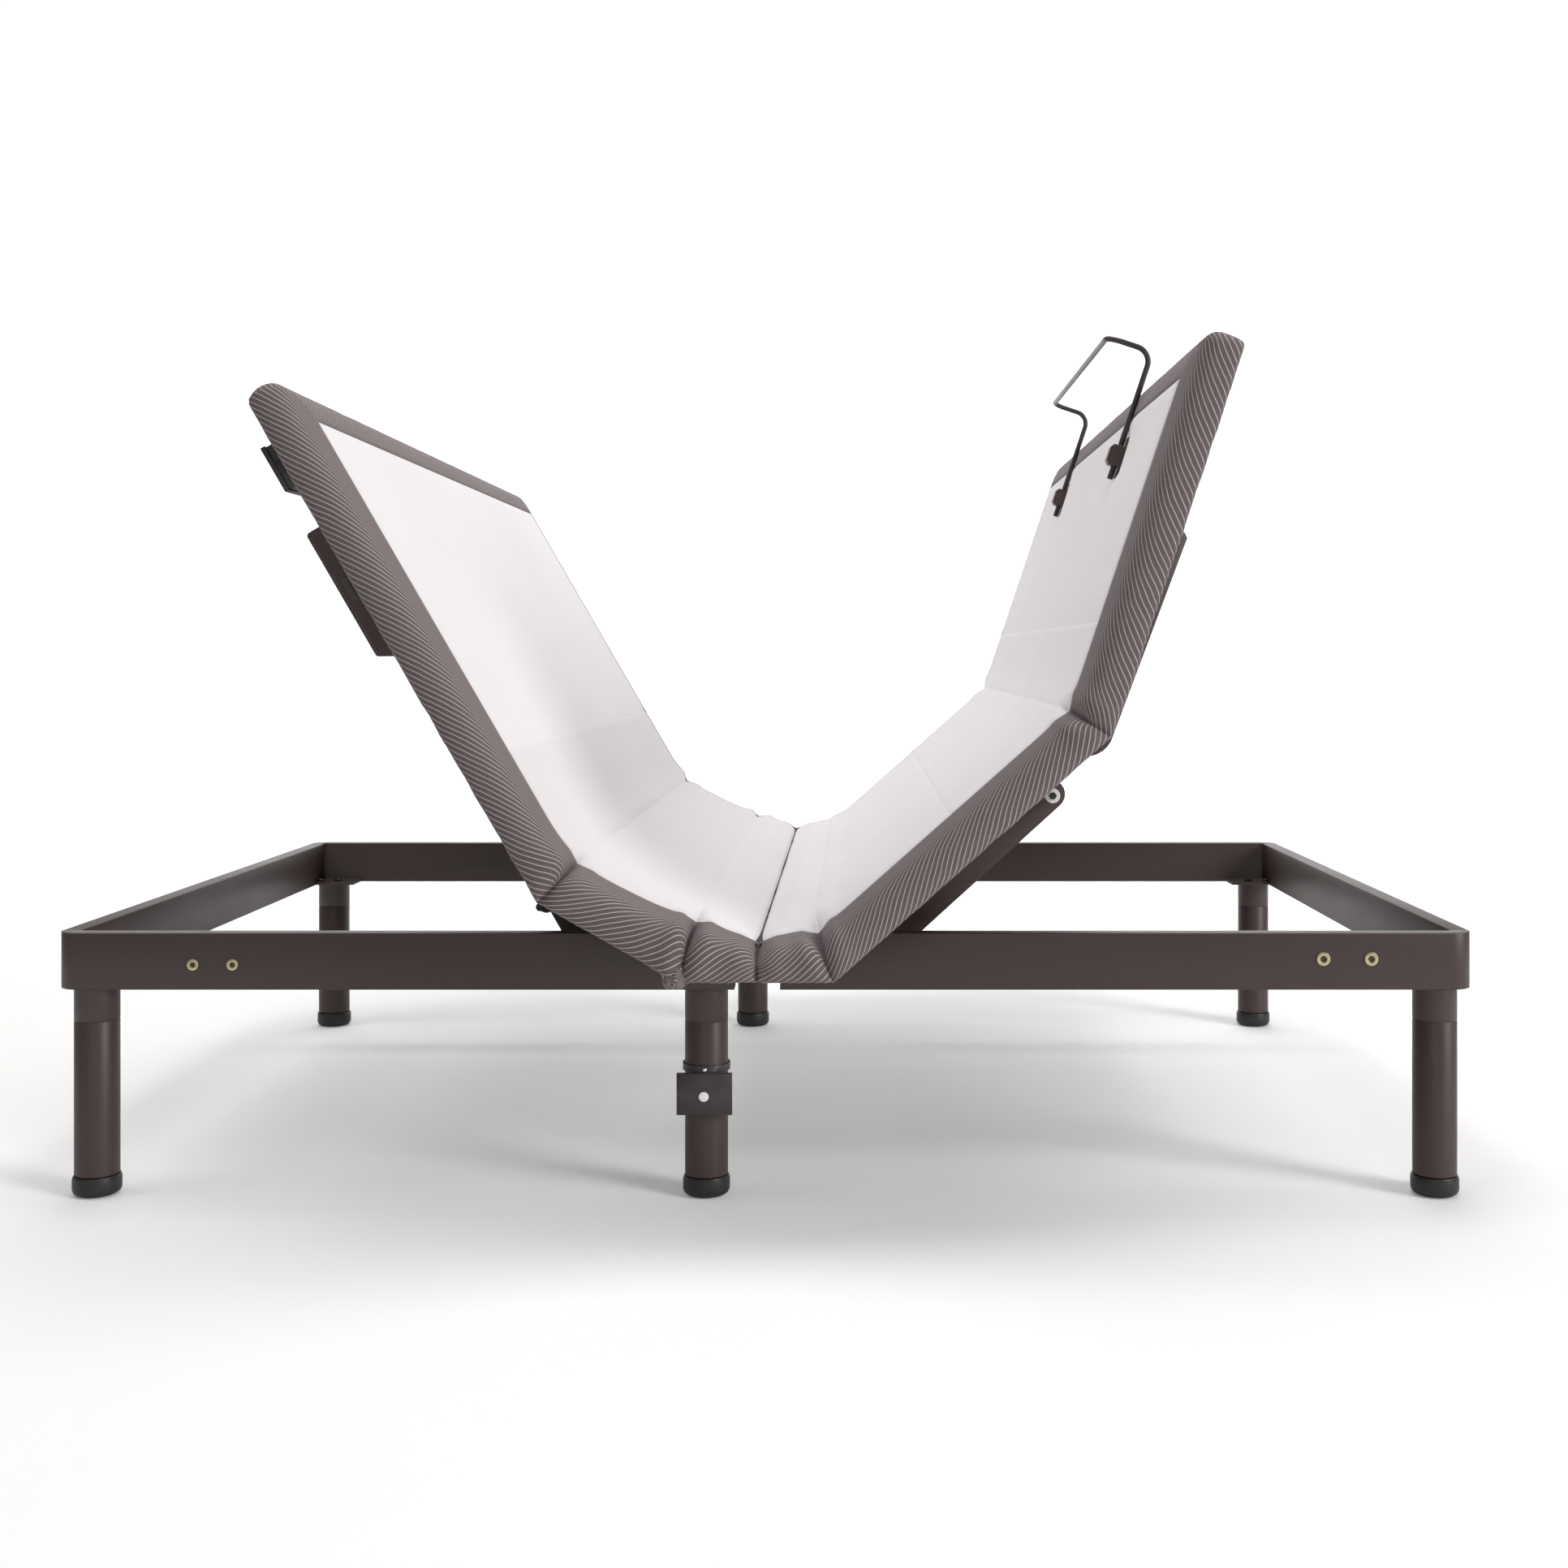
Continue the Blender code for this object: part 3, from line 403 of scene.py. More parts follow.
def end_run(end, side, from_corner):
    """Cloth coordinate along an end border; it carries on from the near side border."""
    across = from_corner if side < 0 else 2.0 * HALF_WIDTH - from_corner
    return end + across if end > 0 else end - across


def end_columns(end, seed):
    columns = []
    sign = 1.0 if end > 0 else -1.0
    reach = HALF_WIDTH - SEAM_INSET
    count = 44
    for step in range(count + 1):
        y = -reach + 2.0 * reach * step / count
        column = []
        for index, (inset, end_inset, z) in enumerate(BORDER_PROFILE):
            fade = smooth((reach - abs(y)) / 0.05)
            wave = 0.0010 * ripple(y, inset + z, 0.05, seed) * fade
            outer = smooth((0.040 - inset) / 0.030)
            fixed, new_z = shaped(end - sign * 0.08, inset, z, seed)
            s = end - sign * (end_inset + (fixed - inset) + wave * outer)
            run = end_run(end, -1, y + HALF_WIDTH)
            column.append((deck_point(s, y, new_z), (run, LENGTHS[index]), (run, LENGTHS[index])))
        columns.append(column)
    return columns


def weave_columns(cloth, columns, zones):
    """Join neighbouring columns into a closed tube; zones say which cloth coordinate to use."""
    made = []
    for column in columns:
        made.append([cloth.vertex(point) for point, _, _ in column])
    count = len(BORDER_PROFILE)
    for index, zone in enumerate(zones):
        for row in range(count):
            after = (row + 1) % count
            corners = (made[index][row], made[index][after], made[index + 1][after], made[index + 1][row])
            pick = 1 if zone == "side" else 2
            pairs = (columns[index][row][pick], columns[index][after][pick],
                     columns[index + 1][after][pick], columns[index + 1][row][pick])
            cloth.face(corners, pairs, 0)


def panel_height(s, y, low_edge, high_edge, joins):
    """Height of the white mesh: seams at the edge, a soft crown, tucks at the folds."""
    side_gap = HALF_WIDTH - SEAM_INSET - abs(y)
    gaps = [side_gap]
    if low_edge is not None:
        gaps.append(s - low_edge)
    if high_edge is not None:
        gaps.append(high_edge - s)
    edge = max(min(gaps), 0.0)
    z = TOP - 0.0032 * math.exp(-edge / 0.0024) + 0.0010 * math.exp(-((edge - 0.022) / 0.020) ** 2)
    inward = smooth(edge / 0.070)
    z -= (1.0 - inward) * 0.95 * border_tuck(s) + inward * mesh_tuck(s)
    z += (1.0 - inward) * swell(s, True) + inward * swell(s, False)
    z -= pressed(s, y)
    z += inward * (0.0016 * ripple(s, y, 0.21, 2.0) + 0.0007 * ripple(s, y, 0.07, 5.0))
    stretch = math.exp(-(min(abs(s - fold[0]) for fold in FOLDS) / 0.09) ** 2)
    z += inward * stretch * 0.0008 * ripple(s * 0.35, y, 0.035, 9.0)
    for join in joins:
        away = abs(s - join)
        z -= 0.0013 * math.exp(-away / 0.0016) - 0.0005 * math.exp(-((away - 0.008) / 0.006) ** 2)
    return z


def across_positions():
    gaps = (0.0, 0.0012, 0.0028, 0.005, 0.009, 0.015, 0.024, 0.036, 0.052)
    reach = HALF_WIDTH - SEAM_INSET
    positions = [-reach + gap for gap in gaps]
    count = 36
    inner = reach - gaps[-1]
    positions += [-inner + 2.0 * inner * step / count for step in range(1, count)]
    positions += [reach - gap for gap in reversed(gaps)]
    return positions


def weave_panel(cloth, places, low_edge, high_edge, joins):
    across = across_positions()
    rows = []
    for s in places:
        row = []
        for y in across:
            z = panel_height(s, y, low_edge, high_edge, joins)
            row.append(cloth.vertex(deck_point(s, y, z)))
        rows.append(row)
    for index in range(len(places) - 1):
        for step in range(len(across) - 1):
            corners = (rows[index][step], rows[index + 1][step],
                       rows[index + 1][step + 1], rows[index][step + 1])
            pairs = ((places[index], across[step]), (places[index + 1], across[step]),
                     (places[index + 1], across[step + 1]), (places[index], across[step + 1]))
            cloth.face(corners, pairs, 1)
    reach = HALF_WIDTH - SEAM_INSET - 0.0030
    for first, second in zip(places, places[1:]):
        corners = []
        pairs = []
        for s, y in ((first, -reach), (first, reach), (second, reach), (second, -reach)):
            corners.append(cloth.vertex(deck_point(s, y, UNDERSIDE)))
            pairs.append((s, y))
        cloth.face(corners, pairs, 2)


def refined_toward(low, high, edges):
    """Stations with extra ones close to a sewn edge."""
    places = stations(low, high)
    for edge in edges:
        sign = 1.0 if edge == low else -1.0
        for gap in (0.0012, 0.0028, 0.005, 0.009, 0.015, 0.024, 0.036):
            places.append(edge + sign * gap)
    places = sorted(places)
    kept = [places[0]]
    for value in places[1:]:
        if value - kept[-1] > 0.0005:
            kept.append(value)
    kept[-1] = high
    return kept


def open_cover(name, low, high, joins, materials):
    """Cover piece between two joins: a border down each side and the mesh between."""
    cloth = ClothMesh()
    places = stations(low, high, joins)
    for side, seed in ((-1, 1.0), (1, 21.0)):
        columns = [border_column(side, place, seed) for place in places]
        weave_columns(cloth, columns, ["side"] * (len(columns) - 1))
    weave_panel(cloth, places, None, None, joins)
    return cloth.finish(name, materials)


def end_cover(name, join, end, materials):
    """Cover piece with the border carried round the free end of the deck."""
    cloth = ClothMesh()
    sign = 1.0 if end > 0 else -1.0
    limit = end - sign * END_SEAM_INSET
    low = min(join, limit)
    high = max(join, limit)
    places = stations(low, high, (join,))
    ordered = places if end > 0 else list(reversed(places))
    columns = [border_column(-1, place, 1.0) for place in ordered]
    zones = ["side"] * (len(columns) - 1)
    corner = corner_columns(-1, end, 1.0)
    columns += corner
    zones += ["side"] * 7 + ["end"] * 6
    ends = end_columns(end, 11.0)
    columns += ends
    zones += ["end"] * len(ends)
    corner = list(reversed(corner_columns(1, end, 21.0)))
    columns += corner
    zones += ["end"] * 7 + ["side"] * 6
    columns += [border_column(1, place, 21.0) for place in reversed(ordered)]
    zones += ["side"] * len(ordered)
    weave_columns(cloth, columns, zones)
    inner = refined_toward(low, high, (limit,))
    low_edge = limit if end < 0 else None
    high_edge = limit if end > 0 else None
    weave_panel(cloth, inner, low_edge, high_edge, (join,))
    return cloth.finish(name, materials)


def fold_direction(place, reach):
    start = deck_point(place - reach, 0.0, 0.0)
    finish = deck_point(place + reach, 0.0, 0.0)
    return tuple(start), tuple(finish)


# Materials

def node_material(name, colour, roughness, metallic=0.0):
    material = bpy.data.materials.new(name)
    material.use_nodes = True
    shader = material.node_tree.nodes["Principled BSDF"]
    shader.inputs["Base Color"].default_value = (*colour, 1.0)
    shader.inputs["Roughness"].default_value = roughness
    shader.inputs["Metallic"].default_value = metallic
    return material, material.node_tree.nodes, material.node_tree.links, shader


def math_node(nodes, links, operation, first, second):
    node = nodes.new("ShaderNodeMath")
    node.operation = operation
    for index, value in enumerate((first, second)):
        if value is None:
            continue
        if isinstance(value, (int, float)):
            node.inputs[index].default_value = value
        else:
            links.new(value, node.inputs[index])
    return node.outputs[0]


def grain(nodes, links, coordinate, scale, detail):
    texture = nodes.new("ShaderNodeTexNoise")
    texture.inputs["Scale"].default_value = scale
    texture.inputs["Detail"].default_value = detail
    links.new(coordinate, texture.inputs["Vector"])
    return texture.outputs["Fac"]


def bump(nodes, links, height, strength, distance, shader):
    node = nodes.new("ShaderNodeBump")
    node.inputs["Strength"].default_value = strength
    node.inputs["Distance"].default_value = distance
    links.new(height, node.inputs["Height"])
    links.new(node.outputs["Normal"], shader.inputs["Normal"])
    return node


def mix_colour(nodes, links, factor, first, second):
    node = nodes.new("ShaderNodeMix")
    node.data_type = "RGBA"
    links.new(factor, node.inputs[0])
    for index, value in ((6, first), (7, second)):
        if isinstance(value, tuple):
            node.inputs[index].default_value = (*value, 1.0)
        else:
            links.new(value, node.inputs[index])
    return node.outputs[2]


def make_border_material():
    """Grey-mauve knit with slanting pale ribs woven into it."""
    material, nodes, links, shader = node_material("border_knit", (0.2, 0.16, 0.16), 0.85)
    shader.inputs["Sheen Weight"].default_value = 0.10
    shader.inputs["Sheen Roughness"].default_value = 0.5
    shader.inputs["Sheen Tint"].default_value = (0.9, 0.88, 0.9, 1.0)
    shader.inputs["Specular IOR Level"].default_value = 0.2
    cloth = nodes.new("ShaderNodeUVMap")
    cloth.uv_map = "cloth"
    split = nodes.new("ShaderNodeSeparateXYZ")
    links.new(cloth.outputs["UV"], split.inputs[0])
    wobble = grain(nodes, links, cloth.outputs["UV"], 26.0, 1.0)
    shifted = math_node(nodes, links, "MULTIPLY", wobble, 0.0030)
    around = math_node(nodes, links, "ADD", split.outputs["Y"], shifted)
    beyond = math_node(nodes, links, "SUBTRACT", around, LENGTHS[8])
    beyond = math_node(nodes, links, "MAXIMUM", beyond, 0.0)
    square = math_node(nodes, links, "MULTIPLY", beyond, beyond)
    curled = math_node(nodes, links, "MULTIPLY", square, RIB_CURL)
    around = math_node(nodes, links, "ADD", around, curled)
    first = math_node(nodes, links, "MULTIPLY", around, math.cos(RIB_RISE) / RIB_PITCH)
    second = math_node(nodes, links, "MULTIPLY", split.outputs["X"], math.sin(RIB_RISE) / RIB_PITCH)
    phase = math_node(nodes, links, "SUBTRACT", first, second)
    turn = math_node(nodes, links, "MULTIPLY", phase, 2.0 * math.pi)
    wave = math_node(nodes, links, "SINE", turn, None)
    ramp = nodes.new("ShaderNodeMapRange")
    ramp.interpolation_type = "SMOOTHSTEP"
    ramp.inputs["From Min"].default_value = 0.66
    ramp.inputs["From Max"].default_value = 0.97
    links.new(wave, ramp.inputs["Value"])
    speckle = grain(nodes, links, cloth.outputs["UV"], 900.0, 2.0)
    base = mix_colour(nodes, links, speckle, (0.098, 0.076, 0.077), (0.165, 0.132, 0.134))
    thread = mix_colour(nodes, links, speckle, (0.34, 0.30, 0.30), (0.52, 0.47, 0.47))
    # Painted sheen: the pale ribs fade to 40 percent of their strength across the top strip, standing in for
    # the top light washing them out there.
    fade = nodes.new("ShaderNodeMapRange")
    fade.inputs["From Min"].default_value = LENGTHS[13]
    fade.inputs["From Max"].default_value = LENGTHS[19]
    fade.inputs["To Min"].default_value = 1.0
    fade.inputs["To Max"].default_value = 0.40
    links.new(split.outputs["Y"], fade.inputs["Value"])
    shown = math_node(nodes, links, "MULTIPLY", ramp.outputs[0], fade.outputs[0])
    links.new(mix_colour(nodes, links, shown, base, thread), shader.inputs["Base Color"])
    low = math_node(nodes, links, "MULTIPLY", ramp.outputs[0], 0.8)
    height = math_node(nodes, links, "ADD", low, math_node(nodes, links, "MULTIPLY", speckle, 0.4))
    bump(nodes, links, height, 0.45, 0.0008, shader)
    return material


def make_mesh_material():
    """White spacer mesh: a fine grid of open cells over a soft tone."""
    material, nodes, links, shader = node_material("spacer_mesh", (0.7, 0.67, 0.68), 0.8)
    shader.inputs["Sheen Weight"].default_value = 0.2
    shader.inputs["Specular IOR Level"].default_value = 0.15
    cloth = nodes.new("ShaderNodeUVMap")
    cloth.uv_map = "cloth"
    split = nodes.new("ShaderNodeSeparateXYZ")
    links.new(cloth.outputs["UV"], split.inputs[0])
    cells = []
    for axis, pitch in (("X", 0.0034), ("Y", 0.0034)):
        turn = math_node(nodes, links, "MULTIPLY", split.outputs[axis], 2.0 * math.pi / pitch)
        cells.append(math_node(nodes, links, "SINE", turn, None))
    grid = math_node(nodes, links, "MULTIPLY", cells[0], cells[1])
    tone = grain(nodes, links, cloth.outputs["UV"], 3.0, 2.0)
    base = mix_colour(nodes, links, tone, (0.688, 0.656, 0.661), (0.742, 0.712, 0.716))
    hole = nodes.new("ShaderNodeMapRange")
    hole.inputs["From Min"].default_value = 0.30
    hole.inputs["From Max"].default_value = 0.95
    hole.inputs["To Max"].default_value = 0.22
    links.new(grid, hole.inputs["Value"])
    shaded = mix_colour(nodes, links, hole.outputs[0], base, (0.38, 0.35, 0.36))
    step = nodes.new("ShaderNodeMapRange")
    step.inputs["From Min"].default_value = BACK_JOIN - 0.001
    step.inputs["From Max"].default_value = BACK_JOIN + 0.001
    links.new(split.outputs["X"], step.inputs["Value"])
    low = nodes.new("ShaderNodeMapRange")
    low.inputs["From Min"].default_value = BACK_FOLD_S
    low.inputs["From Max"].default_value = SEAT_CREASE_S
    low.inputs["To Min"].default_value = 1.0
    low.inputs["To Max"].default_value = 0.0
    links.new(split.outputs["X"], low.inputs["Value"])
    worn = math_node(nodes, links, "MULTIPLY", step.outputs[0], low.outputs[0])
    worn = math_node(nodes, links, "MULTIPLY", worn, 0.22)
    links.new(mix_colour(nodes, links, worn, shaded, (0.48, 0.45, 0.44)), shader.inputs["Base Color"])
    bump(nodes, links, grid, 0.10, 0.0006, shader)
    return material


def make_plain_material(name, colour, roughness, metallic, scale, strength):
    """Solid finish with a fine texture: powder coat, moulded plastic or woven lining."""
    material, nodes, links, shader = node_material(name, colour, roughness, metallic)
    place = nodes.new("ShaderNodeTexCoord")
    fine = grain(nodes, links, place.outputs["Object"], scale, 3.0)
    broad = grain(nodes, links, place.outputs["Object"], 6.0, 2.0)
    rough = nodes.new("ShaderNodeMapRange")
    rough.inputs["To Min"].default_value = roughness - 0.06
    rough.inputs["To Max"].default_value = roughness + 0.06
    links.new(broad, rough.inputs["Value"])
    links.new(rough.outputs[0], shader.inputs["Roughness"])
    bump(nodes, links, fine, strength, 0.0003, shader)
    return material


def make_materials():
    return {
        "border": make_border_material(),
        "mesh": make_mesh_material(),
        "lining": make_plain_material("lining", (0.030, 0.027, 0.026), 0.9, 0.0, 700.0, 0.6),
        "paint": make_plain_material("powder_coat", (0.052, 0.033, 0.030), 0.44, 0.0, 900.0, 0.12),
        "plastic": make_plain_material("moulded_black", (0.019, 0.017, 0.016), 0.45, 0.0, 700.0, 0.15),
        "housing": make_plain_material("motor_housing", (0.045, 0.038, 0.037), 0.40, 0.0, 600.0, 0.12),
        "pouch": make_plain_material("pouch_weave", (0.075, 0.056, 0.054), 0.92, 0.0, 420.0, 1.0),
        "tag": make_plain_material("blank_tag", (0.085, 0.075, 0.072), 0.85, 0.0, 500.0, 0.3),
        "zinc": make_plain_material("zinc_insert", (0.62, 0.52, 0.32), 0.32, 1.0, 300.0, 0.10),
        "bolt": make_plain_material("black_bolt", (0.060, 0.048, 0.046), 0.38, 0.6, 300.0, 0.10),
        "steel": make_plain_material("rod_steel", (0.60, 0.60, 0.62), 0.24, 1.0, 300.0, 0.05),
        "nylon": make_plain_material("nylon", (0.80, 0.79, 0.77), 0.45, 0.0, 300.0, 0.05),
        "wire": make_plain_material("retainer_wire", (0.035, 0.026, 0.024), 0.38, 0.0, 700.0, 0.08),
        "thread": make_plain_material("stitch_thread", (0.16, 0.14, 0.135), 0.8, 0.0, 300.0, 0.1),
        "lens": make_plain_material("light_lens", (0.93, 0.93, 0.92), 0.22, 0.0, 200.0, 0.02),
    }


# Hard pieces

def refine(node, body, material, slot, width=0.0010, angle=30.0, segments=2):
    """Redraw a CAD node with softened edges, so that it catches light like a made piece."""
    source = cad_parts[node]
    bpy.context.view_layer.update()
    shape = bmesh.new()
    shape.from_mesh(source.data)
    shape.transform(source.matrix_world)
    bmesh.ops.remove_doubles(shape, verts=shape.verts[:], dist=0.00001)
    bmesh.ops.dissolve_limit(shape, angle_limit=math.radians(1.0), verts=shape.verts[:], edges=shape.edges[:])
    mesh = bpy.data.meshes.new(node + "_made")
    shape.to_mesh(mesh)
    shape.free()
    mesh.materials.clear()
    mesh.materials.append(material)
    for face in mesh.polygons:
        face.material_index = 0
    item = bpy.data.objects.new(node + "_made", mesh)
    bpy.context.scene.collection.objects.link(item)
    if width > 0.0:
        soften = item.modifiers.new("soften", "BEVEL")
        soften.width = width
        soften.segments = segments
        soften.limit_method = "ANGLE"
        soften.angle_limit = math.radians(angle)
        soften.use_clamp_overlap = True
        soften.harden_normals = False
        apply_modifiers(item)
    smooth_by_angle(item, 35.0)
    return place_piece(item, body, slot, node)


def apply_modifiers(item):
    bpy.context.view_layer.update()
    graph = bpy.context.evaluated_depsgraph_get()
    result = bpy.data.meshes.new_from_object(item.evaluated_get(graph))
    item.modifiers.clear()
    old = item.data
    item.data = result
    bpy.data.meshes.remove(old)


def smooth_by_angle(item, degrees):
    item.data.shade_smooth()
    item.data.set_sharp_from_angle(angle=math.radians(degrees))


def place_piece(item, body, slot, *nodes):
    if nodes:
        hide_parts(*nodes)
    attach(item, body)
    return item


def mesh_object(name, shape, material):
    bmesh.ops.recalc_face_normals(shape, faces=shape.faces[:])
    mesh = bpy.data.meshes.new(name)
    shape.to_mesh(mesh)
    shape.free()
    mesh.materials.append(material)
    item = bpy.data.objects.new(name, mesh)
    bpy.context.scene.collection.objects.link(item)
    return item


def turned(name, centre, axis, profile, material, steps=72):
    """Round piece: (radius, distance along the axis) pairs turned about the axis."""
    axis = Vector(axis).normalized()
    helper = Vector((0.0, 0.0, 1.0)) if abs(axis.z) < 0.9 else Vector((1.0, 0.0, 0.0))
    across = axis.cross(helper).normalized()
    other = axis.cross(across)
    shape = bmesh.new()
    rings = []
    for radius, distance in profile:
        middle = Vector(centre) + axis * distance
        if radius <= 0.0:
            rings.append([shape.verts.new(middle)])
            continue
        ring = []
        for step in range(steps):
            turn = 2.0 * math.pi * step / steps
            ring.append(shape.verts.new(middle + radius * (math.cos(turn) * across + math.sin(turn) * other)))
        rings.append(ring)
    for lower, upper in zip(rings, rings[1:]):
        for step in range(steps):
            after = (step + 1) % steps
            corners = []
            for corner in (lower[step % len(lower)], lower[after % len(lower)],
                           upper[after % len(upper)], upper[step % len(upper)]):
                if corner not in corners:
                    corners.append(corner)
            if len(corners) > 2:
                shape.faces.new(corners)
    item = mesh_object(name, shape, material)
    smooth_by_angle(item, 30.0)
    return item


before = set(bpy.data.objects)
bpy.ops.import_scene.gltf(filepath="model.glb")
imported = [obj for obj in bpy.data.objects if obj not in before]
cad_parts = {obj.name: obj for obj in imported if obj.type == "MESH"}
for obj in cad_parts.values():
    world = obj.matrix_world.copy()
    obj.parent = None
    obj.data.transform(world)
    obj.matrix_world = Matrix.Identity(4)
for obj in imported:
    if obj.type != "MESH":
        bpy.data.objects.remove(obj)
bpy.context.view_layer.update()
MATERIALS = make_materials()


def build_covers():
    cover = (MATERIALS["border"], MATERIALS["mesh"], MATERIALS["lining"])
    reach = BLEND_REACH
    back = end_cover("cover_back", BACK_JOIN, HEAD_END, cover)
    place_piece(back, "back", "border_fabric", "back_pad")
    calf = end_cover("cover_calf", CALF_JOIN, FOOT_END, cover)
    place_piece(calf, "calf", "border_fabric", "calf_pad")
    rows = (
        ("cover_loin", BACK_JOIN, LUMBAR_MIDDLE, (BACK_JOIN,), "lumbar_pad", "back", "lumbar",
         BACK_FOLD_S),
        ("cover_seat_head", LUMBAR_MIDDLE, SEAT_CREASE_S, (), "seat_pad_head", "lumbar", "base",
         LUMBAR_FOLD_S),
        ("cover_seat_foot", SEAT_CREASE_S, THIGH_JOIN, (THIGH_JOIN,), "seat_pad_foot", "base", "thigh",
         THIGH_FOLD_S),
        ("cover_knee", THIGH_JOIN, CALF_JOIN, (THIGH_JOIN, CALF_JOIN), "thigh_pad", "thigh", "calf",
         KNEE_FOLD_S),
    )
    for name, low, high, joins, node, first, second, fold in rows:
        item = open_cover(name, low, high, joins, cover)
        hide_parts(node)
        start, finish = fold_direction(fold, reach)
        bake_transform(item)


def build_legs():
    for place, x in LEG_PLACES:
        for side_name, side in (("near", -1.0), ("far", 1.0)):
            y = side * LEG_Y
            leg = place + "_" + side_name
            tube = ((0.0, 0.0264), (0.0271, 0.0264), (0.0286, 0.0280), (0.0286, 0.2306), (0.0283, 0.2313),
                    (0.0279, 0.2318), (0.0279, 0.2324), (0.0283, 0.2329), (0.0286, 0.2336), (0.0286, 0.2753),
                    (0.0281, 0.2756), (0.0, 0.2756))
            item = turned("tube_" + leg, (x, y, 0.0), (0, 0, 1), tube, MATERIALS["paint"], 96)
            place_piece(item, "base", "frame_paint", "leg_" + leg)
            cap = ((0.0, 0.0), (0.0215, 0.0), (0.0260, 0.0009), (0.0292, 0.0032), (0.0308, 0.0062),
                   (0.0312, 0.0090), (0.0312, 0.0215), (0.0307, 0.0234), (0.0300, 0.0238), (0.0298, 0.0252),
                   (0.0292, 0.0260), (0.0, 0.0260))
            item = turned("glide_" + leg, (x, y, 0.0), (0, 0, 1), cap, MATERIALS["plastic"], 96)
            place_piece(item, "base", "black_plastic", "foot_cap_" + leg)
            screw = ((0.0, 0.0), (0.0070, 0.0), (0.0070, 0.0040), (0.0062, 0.0048), (0.0, 0.0048))
            for offset in (-0.017, 0.017):
                head = turned("bolt_" + leg + ("_a" if offset < 0 else "_b"),
                              (x + offset, side * LEG_BOLT_Y, 0.2815), (0, 0, 1), screw, MATERIALS["bolt"], 6)
                place_piece(head, "base", "zinc_insert")


def build_hard_pieces():
    paint = MATERIALS["paint"]
    for end in ("head", "foot"):
        for side in ("near", "far"):
            refine("rail_" + end + "_" + side, "base", paint, "frame_paint", 0.0012)
        refine("rail_" + end + "_end", "base", paint, "frame_paint", 0.0012)
    refine("centre_beam", "base", paint, "frame_paint", 0.0008)
    for node in ("seat_board_head", "seat_board_foot"):
        refine(node, "base", MATERIALS["lining"], "deck_board", 0.0)
    for name in ("lumbar", "back", "thigh", "calf"):
        refine(name + "_board", name, MATERIALS["lining"], "deck_board", 0.0)
    for side in ("near", "far"):
        refine("back_bar_" + side, "back", paint, "frame_paint", 0.0014)
        refine("thigh_bar_" + side, "thigh", paint, "frame_paint", 0.0014)
        refine("calf_bar_" + side, "calf", paint, "frame_paint", 0.0014)
        refine("head_arm_" + side, "head_lever", paint, "frame_paint", 0.0012, 40.0)
        refine("foot_arm_" + side, "foot_lever", paint, "frame_paint", 0.0012, 40.0)
    refine("calf_cross", "calf", paint, "frame_paint", 0.0010)
    refine("head_shaft", "head_lever", paint, "frame_paint", 0.0)
    refine("foot_shaft", "foot_lever", paint, "frame_paint", 0.0)
    refine("calf_link", "calf_link", paint, "frame_paint", 0.0008, 40.0)
    refine("head_motor", "head_motor", MATERIALS["housing"], "motor_housing", 0.0025)
    refine("foot_motor", "foot_motor", MATERIALS["housing"], "motor_housing", 0.0025)
    refine("head_rod", "head_rod", MATERIALS["steel"], "actuator_rod", 0.0015)
    refine("foot_rod", "foot_rod", MATERIALS["steel"], "actuator_rod", 0.0015)
    refine("massage_motor", "back", MATERIALS["housing"], "motor_housing", 0.0020)
    for name in ("head_outer", "head_inner", "foot_inner", "foot_outer"):
        refine("insert_" + name, "base", MATERIALS["zinc"], "zinc_insert", 0.0004, 40.0)
    refine("leg_light", "base", MATERIALS["housing"], "black_plastic", 0.0007)
    refine("leg_light_lens", "base", MATERIALS["lens"], "light_lens", 0.0008)
    pouch = refine("control_pouch", "back", MATERIALS["pouch"], "pouch_fabric", 0.0040, 30.0, 3)
    for side in ("near", "far"):
        refine("retainer_foot_" + side, "calf", paint, "frame_paint", 0.0008)


def panel_block(name, panel, s_span, y_span, z_span, material, width=0.0006):
    """Small block lying square to a tilted panel."""
    shape = bmesh.new()
    bmesh.ops.create_cube(shape, size=1.0)
    for vertex in shape.verts:
        vertex.co = Vector((s_span[0] if vertex.co.x < 0.0 else s_span[1],
                            y_span[0] if vertex.co.y < 0.0 else y_span[1],
                            z_span[0] if vertex.co.z < 0.0 else z_span[1]))
    if width > 0.0:
        bmesh.ops.bevel(shape, geom=shape.edges[:], offset=width, segments=2, profile=0.5, affect="EDGES")
    for vertex in shape.verts:
        x, z = panel.plain(vertex.co.x, vertex.co.z)
        vertex.co = Vector((x, vertex.co.y, z))
    item = mesh_object(name, shape, material)
    smooth_by_angle(item, 30.0)
    return item


def wire_tube(name, points, radius, material, sides=20):
    """Round wire along a path, with its section carried round the bends without twisting."""
    shape = bmesh.new()
    rings = []
    normal = Vector((0.0, 1.0, 0.0))
    for index, point in enumerate(points):
        before = points[max(index - 1, 0)]
        after = points[min(index + 1, len(points) - 1)]
        tangent = (after - before).normalized()
        if abs(normal.dot(tangent)) > 0.95:
            normal = Vector((1.0, 0.0, 0.0))
        normal = (normal - tangent * normal.dot(tangent)).normalized()
        side = tangent.cross(normal)
        ring = []
        for step in range(sides):
            turn = 2.0 * math.pi * step / sides
            ring.append(shape.verts.new(point + radius * (math.cos(turn) * normal + math.sin(turn) * side)))
        rings.append(ring)
    for lower, upper in zip(rings, rings[1:]):
        for step in range(sides):
            after = (step + 1) % sides
            shape.faces.new((lower[step], lower[after], upper[after], upper[step]))
    shape.faces.new(rings[0])
    shape.faces.new(list(reversed(rings[-1])))
    item = mesh_object(name, shape, material)
    smooth_by_angle(item, 40.0)
    return item


